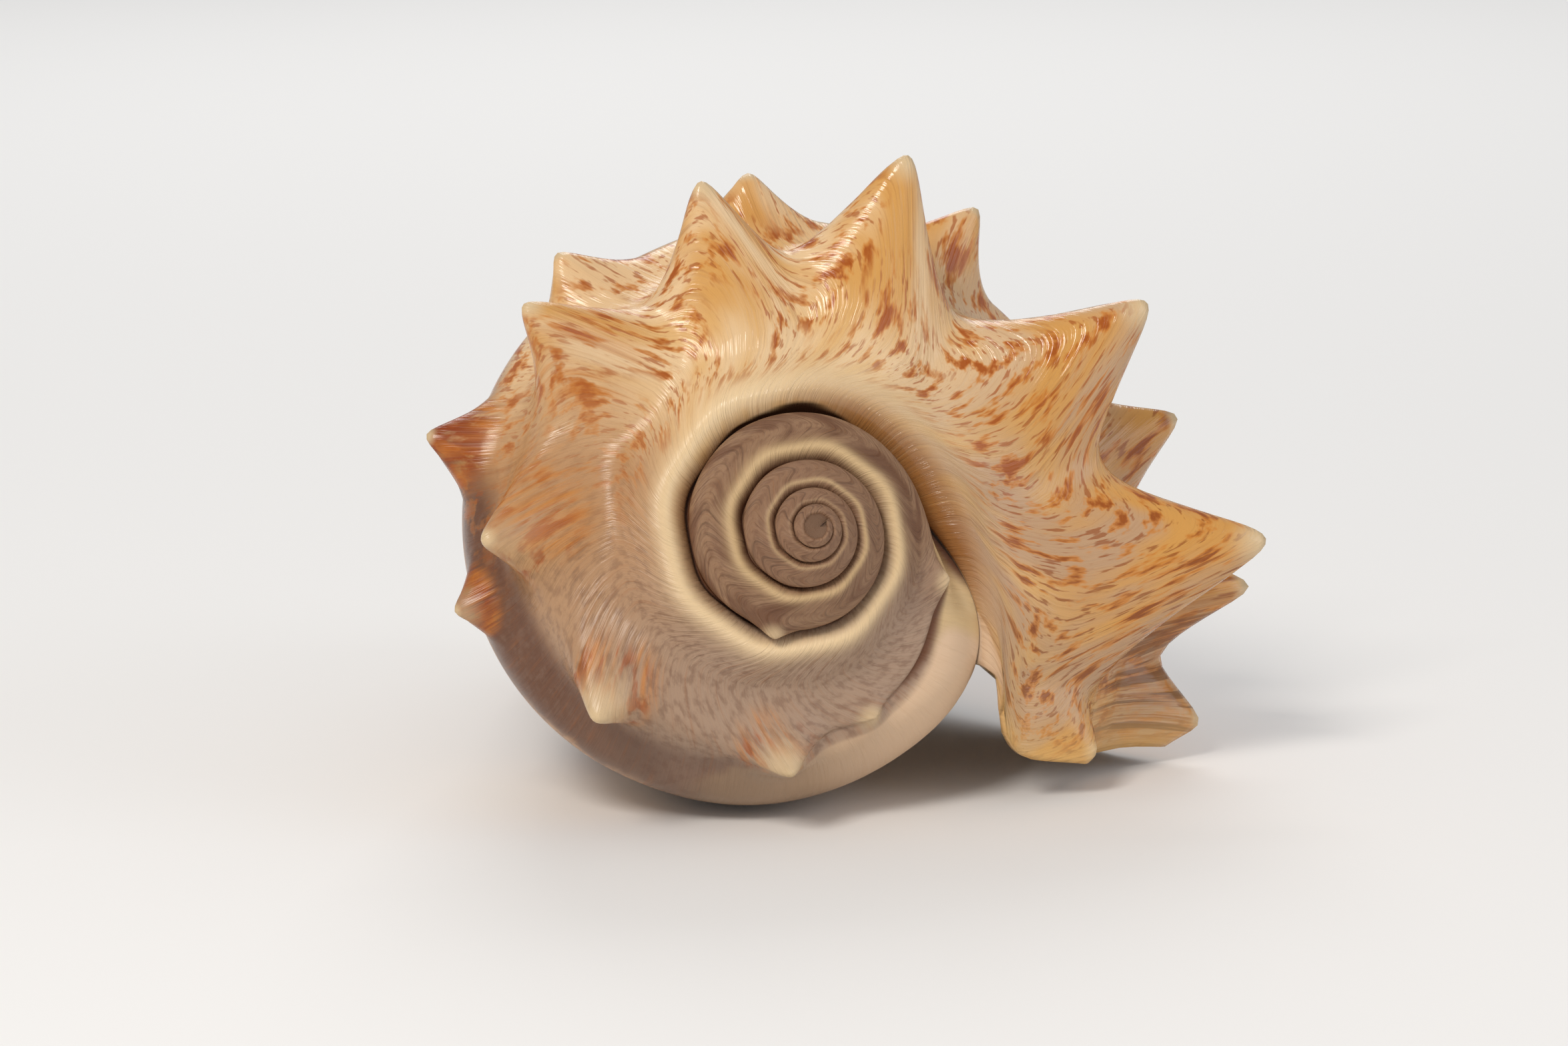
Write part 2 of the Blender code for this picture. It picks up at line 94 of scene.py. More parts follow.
class Axis(Enum):
    """The axes, by their place in a point."""

    X = 0
    Y = 1
    Z = 2


class Zone(Enum):
    """What the mesh stores for its finish, one number for each point."""

    AGE = "shell_age"
    PLACE = "shell_place"
    TIP = "spine_tip"
    RIM = "rim"
    # Painted shade: the channel between whorls, a painted shadow under the rim's overhang, and a shade
    # line in the crease beside the callus.
    CHANNEL_SHADE = "channel"
    CALLUS = "callus"
    LIP = "lip_margin"
    INSIDE = "inside"


@dataclass(frozen=True)
class Line:
    """One line along the whorl, at the size it would have at the lip.

    It is widen further out towards the lip, and just at the lip flare further out and drop
    deeper. It ends at angle, or on older whorls at old_angle. It shrinks less by slow.
    """

    name: str
    radius: float
    depth: float
    widen: float
    flare: float
    drop: float
    angle: float
    old_angle: float
    slow: float = 0.0


@dataclass(frozen=True)
class Spine:
    """A pointed spine, by where its tip stands.

    The tip is at angle, reach from the axis and rise above the row's line. It leans by lean
    from the middle of the foot, which goes half to each side.
    """

    row: Row
    angle: float
    reach: float
    rise: float
    lean: float
    half: float


LINES = (
    Line("rim", 20.6, 16.2, 0.0, 9.8, 4.4, -31.0, -35.0),
    Line("foot of the rim", 24.2, 19.2, 2.0, 8.6, 2.6, -39.5, -39.0),
    Line("ramp", 27.2, 22.7, 5.5, 4.6, 1.0, -40.5, -40.0),
    Line("shoulder", 29.4, 25.6, 11.2, 0.4, 0.0, -35.5, -34.0),
    Line("side", 38.0, 32.5, 5.4, 3.0, 0.0, -31.5, -32.0),
    Line("second row", 45.6, 38.5, 1.7, 5.6, 0.0, -24.5, -30.0),
    Line("base", 43.2, 52.0, 1.7, 3.4, 0.0, -27.0, -31.0, 0.12),
    Line("waist", 33.5, 69.0, 1.0, 2.6, 0.0, -15.5, -30.0, 0.38),
    Line("neck", 20.0, 87.0, 3.0, 0.6, 0.0, -18.5, -34.0, 0.55),
)
# Places of some lines in the full set of 14, which starts at the seam.
RAMP = 4
SIDE = 6
WAIST = 9
RIDGE = 11
END = 12
LAST = 13

SPINE_SIZES = {
    Row.SHOULDER: (
        (-32.6, 45.6, 1.5, 0.6, 9.0), (0.0, 57.9, 7.0, 4.8, 15.0), (32.3, 52.0, 6.5, 4.0, 13.4),
        (71.2, 47.2, 6.0, 1.8, 12.0), (103.1, 42.3, 5.5, 2.0, 10.5), (138.8, 40.6, 5.5, 3.2, 9.5),
        (180.4, 36.0, 5.0, 3.0, 8.5), (221.5, 31.3, 4.0, 2.0, 7.5), (268.5, 27.6, 3.0, 1.6, 6.5),
        (294.6, 23.2, 1.5, 0.8, 4.0), (345.3, 19.4, 1.2, 0.8, 3.6), (614.0, 12.4, 0.5, 0.3, 3.0),
    ),
    Row.SECOND: (
        (-19.9, 58.8, 0.8, 0.0, 9.0), (-3.6, 61.6, 1.6, 2.0, 9.5), (17.3, 55.2, 1.6, 1.6, 9.0),
        (55.9, 49.6, 1.6, -1.0, 8.0), (90.6, 44.6, 1.6, 0.5, 8.0), (124.4, 42.0, 1.5, 1.6, 7.0),
        (161.7, 41.8, 1.0, 1.0, 7.0), (191.2, 37.6, 0.8, 0.6, 5.5),
    ),
}
SPINES = tuple(Spine(row, *sizes) for row, table in SPINE_SIZES.items() for sizes in table)

# Half the foot of a spine up the whorl and down it, as shares of half the foot along it.
FOOT_SHARES = {Row.SHOULDER: (0.95, 0.62), Row.SECOND: (0.62, 0.72)}

# Places of the mesh's columns, above the seam with the next whorl and below it.
TOP_PLACES = (0, 0.35, 0.7, 1, 1.3, 1.55, 1.8, 2, 2.2, 2.45, 2.7, 3, 3.25, 3.5, 3.75, 4, 4.2, 4.4,
              4.55, 4.7, 4.8, 4.9, 5, 5.1, 5.2, 5.35, 5.55, 5.75, 6)
LOW_PLACES = (6.35, 6.5, 6.65, 6.8, 6.9, 7, 7.1, 7.2, 7.35, 7.5, 7.7, 8, 8.3, 8.6, 9, 9.4, 9.8,
              10.2, 10.6, 11, 11.3, 11.6, 11.85, 12, 12.2, 12.4, 12.6, 12.8, 13)


def smooth(x: Array) -> Array:
    """A soft step.

    Args:
        x: Values, where the step runs from 0 to 1.

    Returns:
        0 below 0, 1 above 1, with a soft slope between.
    """
    x = np.clip(x, 0.0, 1.0)
    return x * x * (3.0 - 2.0 * x)


def step(value: Array, start_and_run: Pair) -> Array:
    """A soft step of a value, from 0 at its start to 1 after its run."""
    start, run = start_and_run
    return smooth((value - start) / run)


def changed(value: Array, change: Change) -> Array:
    """A number that changes in a soft step, as (first, by how much, start, run)."""
    first, by, *start_and_run = change
    return first + by * step(value, start_and_run)


def swell(value: Array, middle: float, width: float) -> Array:
    """A soft bump of height 1 at its middle."""
    return np.exp(-(((value - middle) / width) ** 2))


def polar(radius: Array, angle: Array, depth: Array) -> Array:
    """Points from their distance to the axis, angle and depth below the spire's tip."""
    turn = np.radians(angle)
    return np.stack([radius * np.cos(turn), radius * np.sin(turn), -depth + 0.0 * turn], axis=-1)


def turn_about(axis: Axis, angle: float) -> Array:
    """A turn about an axis.

    Args:
        axis: The axis.
        angle: Degrees.

    Returns:
        A 3 by 3 matrix.
    """
    one, two = (axis.value + 1) % 3, (axis.value + 2) % 3
    matrix = np.eye(3)
    matrix[one, one] = matrix[two, two] = math.cos(math.radians(angle))
    matrix[two, one] = math.sin(math.radians(angle))
    matrix[one, two] = -matrix[two, one]
    return matrix


def srgb(code: str) -> Colour:
    """A colour for a shader.

    Args:
        code: The colour as sRGB hex, such as "#E3BE97".

    Returns:
        The linear colour, with alpha 1.
    """
    shares = [int(code[k : k + 2], 16) / 255.0 for k in (1, 3, 5)]
    linear = [s / 12.92 if s <= 0.04045 else ((s + 0.055) / 1.055) ** 2.4 for s in shares]
    return (*linear, 1.0)


@dataclass(frozen=True)
class Glaze:
    """The smooth callus on the body beside the opening, and the tongue of it in the notch."""

    thick: float = 0.7
    start: Pair = (0.74, 0.10)
    fade: Pair = (1.05, 0.1)
    under_lip: Pair = (0.05, 0.1)
    edge: Change = (6.45, -1.2, 0.76, 0.08)
    soft: float = 0.35
    stop: Pair = (9.2, 1.2)
    groove_place: float = -0.12
    groove_width: float = 0.16
    tongue_step: float = 0.5
    tongue_turns: float = 0.034
    tongue_places: float = 2.5
    tongue_soft: float = 0.15
    tongue_foot: float = 0.7

    def lift(self, age: Array, place: Array) -> tuple[Array, Array]:
        """The callus over a grid of points.

        Args:
            age: Their ages.
            place: Their places.

        Returns:
            Its thickness, less the groove along its edge, and its share from 0 to 1.
        """
        start = step(age, self.start)
        edge = place - changed(age, self.edge)
        share = start * smooth(edge / self.soft) * (1.0 - step(place, self.stop))
        groove = start * swell(edge, self.groove_place, self.groove_width)
        end = 1.0 - step(age, self.fade)
        return self.thick * (share - groove) * end, share * end

    def tongue(self, age: Array, place: Array) -> Array:
        """The smooth tongue in the notch, under the arch of the lip's edge, from 0 to 1."""
        arch = np.hypot(age / self.tongue_turns, place / self.tongue_places)
        return smooth((1.0 - arch) / self.tongue_soft)


@dataclass(frozen=True)
class Straight:
    """Inner lines that run straight between two others once they are run turns in.

    They follow the line first, by shares of the way to the line last, under an arch.
    """

    first: int
    last: int
    run: float
    arch: float
    shares: Triple


@dataclass(frozen=True)
class Coil:
    """The lines that the wall follows, outside and inside.

    A step is (start, run) and a swell is (middle, width, share), both in turns. The canal's
    sizes are given at five ages. The canal's end is (radius, angle, depth), and its inner edge
    is (radius, depth, power of its shrinking).
    """

    growth: float = 1.72
    turns: float = 5.2
    cavity_turns: float = 0.62
    lip_wall: float = 1.4
    deep_wall: float = 3.0
    wall_run: float = 0.04
    flare_run: float = 0.055
    swells: tuple[Triple, ...] = ((0.60, 0.13, 0.014), (0.83, 0.10, -0.016), (0.97, 0.04, 0.020),
                                  (0.38, 0.05, -0.030))
    old_angle_run: float = 0.9
    slow_share: float = 0.6
    keel_rise: Pair = (0.38, 0.14)
    keel_fall: Pair = (0.93, 0.22)
    keel_out: float = 6.0
    keel_side: float = 2.0
    covered: Pair = (0.98, 0.15)
    covered_in: float = 9.7
    covered_drop: float = 5.0
    callus_rise: Pair = (0.74, 0.14)
    callus_lift: float = 4.0
    seam_sag: float = 0.85
    seam_run: float = 0.06
    flank: Triple = (0.3, 0.3, 0.55)
    corner: float = 0.016
    corner_count: float = 8.0
    corner_angle: float = 207.0
    rim_corners: Pair = (0.25, 0.15)
    side_corners: Pair = (1.25, 0.15)
    canal_ages: Stops = (0.0, 0.25, 0.5, 0.75, 1.0)
    ridge_radii: Stops = (17.6, 16.6, 15.4, 13.6, 11.2)
    end_radii: Stops = (14.2, 13.0, 11.4, 9.8, 8.4)
    end_depths: Stops = (103.0, 105.0, 105.0, 105.0, 105.0)
    ridge_depth: float = 98.0
    ridge_shorter: float = 14.0
    ridge_angle: float = -34.0
    end_angle: float = -38.0
    end_twist: float = -24.0
    canal_end: Triple = (10.0, 8.0, 103.0)
    inner_turn: Pair = (0.4, 0.2)
    inner_turn_by: Pair = (9.0, 3.5)
    inner_end: Triple = (12.6, 102.4, 1.15)
    canal_floor: Straight = Straight(WAIST, LAST, 0.12, 0.0, (0.48, 0.78, 0.92))
    roof: Straight = Straight(0, RAMP, 0.02, 3.0, (0.18, 0.42, 0.7))
    free_above: float = 5.2
    hidden_lower: Pair = (1.0, 0.4)
    hidden_lower_by: float = 0.35
    glaze: Glaze = Glaze()

    def seam_place(self, away: Array) -> Array:
        """Where the next whorl is fixed to this one: lower just behind its lip, by turns away."""
        return SIDE + self.seam_sag * np.exp(-away / self.seam_run)

    def corners(self, angle: Array, share: Array) -> Array:
        """The coil seen from the spire is a little eight-sided, by the knobs of older whorls."""
        turned = np.radians(self.corner_count * (angle - self.corner_angle))
        return 1.0 + self.corner * share * np.cos(turned)

    def lower_lines(self, age: Array) -> Array:
        """The lines from the rim to the end of the canal.

        Args:
            age: Ages, in turns.

        Returns:
            Points as (ages, 12 lines, 3).
        """
        size = self.growth ** (-age)
        young = np.clip(1.0 - age, 0.0, 1.0)
        lip = np.exp(-age / self.flare_run)
        covered = step(age, self.covered)
        fuller = np.ones(age.shape)
        for middle, width, share in self.swells:
            fuller = fuller + share * swell(age, middle, width)
        callus = step(age, self.callus_rise)
        keel = step(age, self.keel_rise) * (1.0 - step(age, self.keel_fall))
        found = []
        for line in LINES:
            slow = self.growth ** ((1.0 - young) * line.slow)
            radius = (line.radius + line.widen * young) * size * slow**self.slow_share
            radius = radius + line.flare * lip
            depth = line.depth * size * slow + line.drop * lip
            if line.name == "shoulder":
                radius = radius + self.keel_out * keel * size
            if line.name in ("side", "second row", "base"):
                radius = radius * fuller
            if line.name == "side":
                radius = radius + size * (self.keel_side * keel - self.covered_in * covered)
                depth = depth + size * (self.covered_drop * covered - self.callus_lift * callus)
            turned = (line.old_angle - line.angle) * smooth(age / self.old_angle_run)
            angle = line.angle + turned + 360.0 * age
            if line.name in ("rim", "foot of the rim"):
                radius = radius * self.corners(angle, step(age, self.rim_corners))
            if line.name in ("side", "second row"):
                radius = radius * self.corners(angle, step(age, self.side_corners))
            found.append(polar(radius, angle, depth))
        return np.stack(found + self.canal_lines(age, young), axis=1)

    def canal_lines(self, age: Array, young: Array) -> list[Array]:
        """The ridge round the canal, the front end and the end of the canal.

        Args:
            age: Ages, in turns.
            young: 1 at the lip, falling to 0 a turn back.

        Returns:
            Three lines of points.
        """
        past = np.maximum(age - 1.0, 0.0)
        inside = self.growth ** (-past)
        ridge = np.interp(age, self.canal_ages, self.ridge_radii) * inside
        ridge_depth = (self.ridge_depth - self.ridge_shorter * (1.0 - young)) * inside
        end = np.interp(age, self.canal_ages, self.end_radii) * inside
        end_depth = np.interp(age, self.canal_ages, self.end_depths) * inside
        end_angle = self.end_angle + 360.0 * age + self.end_twist * (1.0 - young)
        radius, angle, depth = self.canal_end
        return [
            polar(ridge, self.ridge_angle + 360.0 * age, ridge_depth),
            polar(end, end_angle, end_depth),
            polar(radius * inside, angle + 360.0 * past, depth * inside),
        ]

    def outer_lines(self, age: Array) -> Array:
        """All 14 lines of the outside, the first being the seam with the older whorl.

        Args:
            age: Ages, in turns.

        Returns:
            Points as (ages, 14 lines, 3).
        """
        lower = self.lower_lines(age)
        place = self.seam_place(np.maximum(age, 0.0)) - (LAST + 1 - lower.shape[1])
        seam = along(self.lower_lines(age + 1.0), place[:, None])[:, 0]
        lift = self.glaze.thick * (1.0 - step(age, self.glaze.under_lip))
        seam[:, :2] *= (1.0 + lift / np.hypot(seam[:, 0], seam[:, 1]))[:, None]
        flank = seam + (lower[:, 0] - seam) * np.array(self.flank)
        return np.concatenate([seam[:, None], flank[:, None], lower], axis=1)

    def outer(self, age: Array, place: Array) -> Array:
        """The outside of the wall, without spines."""
        return along(self.outer_lines(age), place)

    def wall(self, age: Array) -> Array:
        """The wall's thickness: thin at the edge of the lip."""
        deep = 1.0 - np.exp(-age / self.wall_run)
        return (self.lip_wall + (self.deep_wall - self.lip_wall) * deep) * self.growth ** (-age)

    def inner_lines(self, age: Array, corner: Array) -> Array:
        """The lines of the inside.

        Args:
            age: Ages, in turns.
            corner: Where the inside meets the older whorl, a point for each age.

        Returns:
            Points as (ages, 14 lines, 3).
        """
        out = self.outer_lines(age)
        radius = np.hypot(out[:, :, 0], out[:, :, 1])
        angle = np.arctan2(out[:, :, 1], out[:, :, 0])
        angle[:, RAMP:SIDE] += step(age, self.inner_turn)[:, None] * np.radians(self.inner_turn_by)
        depth = -out[:, :, 2]
        run = np.gradient(radius, axis=1)
        fall = np.gradient(depth, axis=1)
        norm = np.maximum(np.hypot(run, fall), SMALL)
        thick = self.wall(age)[:, None]
        radius = radius - thick * fall / norm
        depth = depth + thick * run / norm
        size = self.growth ** (-age)
        radius[:, RIDGE] = np.interp(age, self.canal_ages, self.ridge_radii) - thick[:, 0]
        depth[:, RIDGE] = self.ridge_depth * size
        end_radius, end_depth, end_power = self.inner_end
        radius[:, END] = end_radius * size**end_power
        depth[:, END] = end_depth * size
        inner = np.stack([radius * np.cos(angle), radius * np.sin(angle), -depth], 2)
        tip_radius, tip_angle, tip_depth = self.canal_end
        inner[:, LAST] = polar(tip_radius * size, tip_angle + 360.0 * age, tip_depth * size)
        inner[:, 0] = corner
        for part in (self.canal_floor, self.roof):
            lip = np.exp(-age / part.run)[:, None]
            low, high = inner[:, part.first], inner[:, part.last]
            for k, share in enumerate(part.shares, part.first + 1):
                straight = low + share * (high - low)
                straight[:, 2] += part.arch * size * share * (1.0 - share)
                inner[:, k] = lip * inner[:, k] + (1.0 - lip) * straight
        return inner

    def places_at(self, age: Array) -> Array:
        """The place of every column at each age: the seam column follows the seam.

        Args:
            age: Ages, in turns.

        Returns:
            Places as (ages, columns).
        """
        seam = self.seam_place(np.abs(age - 1.0))
        top = np.array(TOP_PLACES, float)[None, :]
        share = (top - self.free_above) / (SIDE - self.free_above)
        moved = self.free_above + share * (seam[:, None] - self.free_above)
        top = np.where(top > self.free_above, moved, top)
        hidden = SIDE + self.seam_sag + self.hidden_lower_by * step(age, self.hidden_lower)
        corner = LOW_PLACES[0] - SIDE + np.where(age > 1.0, hidden, seam)[:, None]
        low = np.array(LOW_PLACES, float)[None, :]
        low = corner + (low - LOW_PLACES[0]) / (LAST - LOW_PLACES[0]) * (LAST - corner)
        return np.concatenate([top, low], axis=1)


def along(lines: Array, place: Array) -> Array:
    """Points on smooth curves through the lines.

    Args:
        lines: Points as (rows, lines, 3).
        place: Places as (rows, columns).

    Returns:
        Points as (rows, columns, 3).
    """
    chords = np.diff(lines, axis=1)
    length = np.maximum(np.linalg.norm(chords, axis=2), SMALL)[:, :, None]
    slope = chords / length
    tangent = np.empty_like(lines)
    before, after = length[:, :-1], length[:, 1:]
    tangent[:, 1:-1] = (slope[:, :-1] * after + slope[:, 1:] * before) / (before + after)
    tangent[:, 0] = slope[:, 0]
    tangent[:, -1] = slope[:, -1]
    first = np.clip(np.floor(place).astype(int), 0, lines.shape[1] - 2)
    t = (place - first)[:, :, None]
    row = np.arange(len(lines))[:, None]
    chord = length[row, first]
    curve = (2 * t**3 - 3 * t**2 + 1) * lines[row, first]
    curve += (t**3 - 2 * t**2 + t) * chord * tangent[row, first]
    curve += (3 * t**2 - 2 * t**3) * lines[row, first + 1]
    curve += (t**3 - t**2) * chord * tangent[row, first + 1]
    return curve


@dataclass(frozen=True)
class Foot:
    """A spine's foot: where it is, the way to the tip, and the directions it is measured in."""

    spine: Spine
    age: float
    point: Array
    way: Array
    ahead: Array
    down: Array


@dataclass(frozen=True)
class Crown:
    """The spines, pulled out of the wall as far as spine_turns and spine_places reach."""

    coil: Coil
    blunt: float = 0.15
    power: float = 1.85
    merge: int = 3
    spine_turns: float = 0.16
    spine_places: float = 2.6
    line_angle: float = -30.0
    search_rounds: int = 8
    ahead_turns: float = 0.002
    down_places: float = 0.15

    def spot(self, age: float, place: float) -> Array:
        """One point of the outside."""
        return self.coil.outer(np.array([age]), np.array([[place]]))[0, 0]

    def feet(self) -> list[Foot]:
        """Finds the foot of every spine.

        Returns:
            The feet, in the order of the spines.
        """
        found = []
        for spine in SPINES:
            angle = spine.angle - math.degrees(spine.lean / spine.reach)
            line = float(spine.row.value)
            age = max((angle - self.line_angle) / 360.0, 0.0)
            for _ in range(self.search_rounds):
                point = self.spot(age, line)
                off = (angle - math.degrees(math.atan2(point[1], point[0])) + 180.0) % 360.0 - 180.0
                age = max(age + off / 360.0, 0.0)
            point = self.spot(age, line)
            ahead = self.spot(age + self.ahead_turns, line) - point
            down = self.spot(age, line + self.down_places) - self.spot(age, line - self.down_places)
            ahead /= np.linalg.norm(ahead)
            down -= ahead * np.dot(down, ahead)
            down /= np.linalg.norm(down)
            tip = polar(spine.reach, spine.angle, -point[2] - spine.rise)
            found.append(Foot(spine, age, point, tip - point, ahead, down))
        return found

    def raise_points(self, points: Array, age: Array, place: Array,
                     share: Array | None = None) -> tuple[Array, Array]:
        """Pulls the spines out of a grid of points.

        Args:
            points: Points as (rows, columns, 3).
            age: Their ages.
            place: Their places.
            share: How much of the pull each point gets, where that isn't all of it.

        Returns:
            The points with spines, and how near each is to a tip, from 0 to 1.
        """
        top = np.zeros(points.shape)
        total = np.zeros(points.shape[:2])
        tip = np.zeros(points.shape[:2])
        for foot in self.feet():
            row, half = foot.spine.row, foot.spine.half
            near = np.abs(age - foot.age) < self.spine_turns
            near &= np.abs(place - row.value) < self.spine_places
            if not near.any():
                continue
            off = points[near] - foot.point
            x = off @ foot.ahead / half
            y = off @ foot.down
            above, below = half * np.array(FOOT_SHARES[row])
            y = np.where(y < 0.0, y / above, y / below)
            away = np.sqrt(x * x + y * y + self.blunt**2) - self.blunt
            pull = np.clip(1.0 - away, 0.0, 1.0) ** self.power
            top[near] += (pull**self.merge)[:, None] * foot.way
            total[near] += pull**self.merge
            tip[near] = np.maximum(tip[near], pull)
        moved = top / np.maximum(total, TINY)[:, :, None] ** ((self.merge - 1) / self.merge)
        if share is not None:
            moved = moved * share[:, :, None]
        return points + moved, tip


class Net:
    """Points and faces of the shell as they are added, with what the finish needs."""

    def __init__(self) -> None:
        """Starts an empty net."""
        self.points: list[Array] = []
        self.zones: dict[Zone, list[Array]] = {zone: [] for zone in Zone}
        self.grain: list[Array] = []
        self.faces: list[Array] = []
        self.count = 0

    def add(self, grid: Array, zones: dict[Zone, Array], grain: Array) -> Array:
        """Adds a grid of points.

        Args:
            grid: Points as (rows, columns, 3).
            zones: The number that each zone has at each point. Those left out are 0.
            grain: Millimetres along the whorl and across it, for patterns.

        Returns:
            The points' numbers, as (rows, columns).
        """
        shape = grid.shape[:2]
        size = shape[0] * shape[1]
        self.points.append(grid.reshape(-1, 3))
        for zone in Zone:
            self.zones[zone].append(np.broadcast_to(zones.get(zone, 0.0), shape).reshape(-1))
        self.grain.append(grain.reshape(-1, 3))
        ids = self.count + np.arange(size).reshape(shape)
        self.count += size
        return ids

    def strip(self, ids: Array, flip: bool = False) -> None:
        """Four-sided faces over a grid of numbers, which turn to triangles where two are one.

        Args:
            ids: The points' numbers, as (rows, columns).
            flip: True turns the faces over.
        """
        quads = np.stack([ids[:-1, :-1], ids[1:, :-1], ids[1:, 1:], ids[:-1, 1:]], axis=2)
        quads = quads.reshape(-1, 4)
        self.faces.append(quads[:, ::-1] if flip else quads)

    def fan(self, middle: int, ring: Array) -> None:
        """Triangles from one point to a run of points."""
        apex = np.full(len(ring) - 1, middle)
        self.faces.append(np.stack([apex, ring[1:], ring[:-1], ring[:-1]], axis=1))

    def bridge(self, one: Array, two: Array) -> None:
        """Triangles between two runs of points that share both ends.

        Args:
            one: The numbers of the first run.
            two: The numbers of the second run.
        """
        spots = np.concatenate(self.points)
        reach = []
        for run in (one, two):
            gaps = np.linalg.norm(np.diff(spots[run], axis=0), axis=1)
            reach.append(np.concatenate([[0.0], np.cumsum(gaps) / gaps.sum()]))
        made = []
        i = j = 0
        while i < len(one) - 1 or j < len(two) - 1:
            ahead = j == len(two) - 1 or (i < len(one) - 1 and reach[0][i + 1] <= reach[1][j + 1])
            if ahead:
                made.append([one[i], one[i + 1], two[j], two[j]])
                i += 1
            else:
                made.append([one[i], two[j + 1], two[j], two[j]])
                j += 1
        self.faces.append(np.array(made))

    def closed_faces(self) -> list[list[int]]:
        """Every face with its repeated corners left out.

        Returns:
            The faces that still have three corners, as lists of point numbers.
        """
        kept = []
        for face in np.concatenate(self.faces)[:, ::-1].tolist():
            short = [c for k, c in enumerate(face) if c != face[k - 1]]
            if len(short) > 2 and len(set(short)) == len(short):
                kept.append(short)
        return kept


@dataclass
class ShellBody:
    """The shell: one closed surface from the spire's tip to the inside of the opening.

    A step is (start, run) and a swell is (middle, width), in turns for an age and in lines for
    a place. The channel between two whorls gets painted shade out to channel_edge, and a painted
    shadow further out under the rim's overhang. The groove is a painted shade line in the crease
    beside the callus.
    """

    coil: Coil = field(default_factory=Coil)
    rows_per_turn: int = 360
    ground_wear: float = 0.35
    pitch: float = -16.1
    roll: float = -3.6
    pole_depth: float = 0.2
    grain_radius: float = 42.0
    grain_across: Stops = (0, 3, 7, 12, 20, 32, 42, 52, 66, 86, 108, 120, 126, 132)
    streak_bend: float = 8.0
    bend: Pair = (3.7, 1.1)
    crest_place: Change = (2.35, -0.4, 0.25, 0.2)
    crest_width: Change = (0.55, -0.25, 1.6, 0.6)
    channel_edge: Change = (0.45, 0.25, 0.42, 0.1)
    overhang_shadow: Pair = (0.325, 0.09)
    channel_soft: float = 0.5
    channel_start: Pair = (0.01, 0.08)
    below_step: Pair = (-0.7, 0.6)
    below_start: Pair = (1.02, 0.05)
    groove_place: float = 5.13
    groove_width: Change = (0.13, 0.1, 0.92, 0.12)
    groove_start: Pair = (0.88, 0.1)
    groove_end: Pair = (1.07, 0.06)
    channel_fade: Change = (1.0, -0.5, 2.0, 1.0)
    callus_end: Pair = (0.99, 0.04)
    lip_run: float = 0.012
    lip_share: float = 0.8
    lip_spine_run: float = 0.03
    name: str = "crown_conch"

    def grain(self, age: Array, place: Array) -> Array:
        """Millimetres along the whorl and across it, along bent growth lines.

        Args:
            age: Ages of a grid of points.
            place: Their places.

        Returns:
            The two lengths and 0, as (rows, columns, 3).
        """
        size = self.coil.growth ** (-age)
        length = 2.0 * math.pi * self.grain_radius / math.log(self.coil.growth) * (1.0 - size)
        bend = self.streak_bend * swell(place, *self.bend) * size
        across = np.interp(place, range(LAST + 1), self.grain_across)
        return np.stack([length + bend, across * size, 0.0 * size], axis=-1)

    def crest(self, age: Array, place: Array) -> Array:
        """The pale crest of the rim, from 0 to 1. It lies further out on the youngest whorl."""
        return swell(place, changed(age, self.crest_place), changed(age, self.crest_width))

    def seam_shade(self, age: Array, place: Array) -> Array:
        """Painted shade in the channel between whorls, under the rim's overhang, and beside the
        callus.

        Args:
            age: Ages of a grid of points.
            place: Their places.

        Returns:
            How much painted shade, from 0 to 1.
        """
        seam = self.coil.seam_place(np.abs(age - 1.0))
        below = step(place - seam, self.below_step) * step(age, self.below_start)
        below = below * (place <= seam + ON_SEAM)
        edge = changed(age, self.channel_edge) + swell(age, *self.overhang_shadow)
        above = smooth((edge - place) / self.channel_soft + 0.5) * step(age, self.channel_start)
        groove = swell(place, self.groove_place, changed(age, self.groove_width))
        groove *= step(age, self.groove_start) * (1.0 - step(age, self.groove_end))
        return np.maximum(np.maximum(above, below) * changed(age, self.channel_fade), groove)

    def surface(self, age: Array) -> tuple[Array, dict[Zone, Array], Array]:
        """The outside, over whole rows.

        Args:
            age: The rows' ages.

        Returns:
            The points, their zones and their grain.
        """
        place = self.coil.places_at(age)
        ages = np.repeat(age[:, None], place.shape[1], axis=1)
        points, tip = Crown(self.coil).raise_points(self.coil.outer(age, place), ages, place)
        glaze = self.coil.glaze
        lift, callus = glaze.lift(ages, place)
        flat = points[:, :, :2]
        out = flat / np.maximum(np.linalg.norm(flat, axis=2), SMALL)[:, :, None]
        points[:, :, :2] += lift[:, :, None] * out
        tongue = glaze.tongue(ages, place)
        points[:, :, 2] -= glaze.tongue_step * tongue * smooth(place / glaze.tongue_foot)
        zones = {
            Zone.AGE: ages,
            Zone.PLACE: place,
            Zone.TIP: tip,
            Zone.RIM: self.crest(ages, place),
            Zone.CHANNEL_SHADE: self.seam_shade(ages, place),
            Zone.CALLUS: np.maximum(callus * (1.0 - step(ages, self.callus_end)), tongue),
            Zone.LIP: self.lip_margin(ages) * (1.0 - tongue),
        }
        return points, zones, self.grain(ages, place)

    def lip_margin(self, age: Array) -> Array:
        """The warm margin of the lip, strongest at its edge."""
        return self.lip_share * np.exp(-age / self.lip_run)

    def build_net(self) -> Net:
        """Makes the closed surface.

        Returns:
            The whorls, the body, the inside of the opening and the lip's edge.
        """
        net = Net()
        rows = self.rows_per_turn
        seam = len(TOP_PLACES) - 1
        whole = round(self.coil.turns * rows)
        deep = round(self.coil.cavity_turns * rows)
        age = np.arange(whole + 1) / rows
        grid, zones, grain = self.surface(age)
        columns = grid.shape[1]

        def add(low: int, high: int, left: int, right: int) -> Array:
            """Adds part of the grid, between two rows and two columns."""
            part = {zone: value[low:high, left:right] for zone, value in zones.items()}
            return net.add(grid[low:high, left:right], part, grain[low:high, left:right])

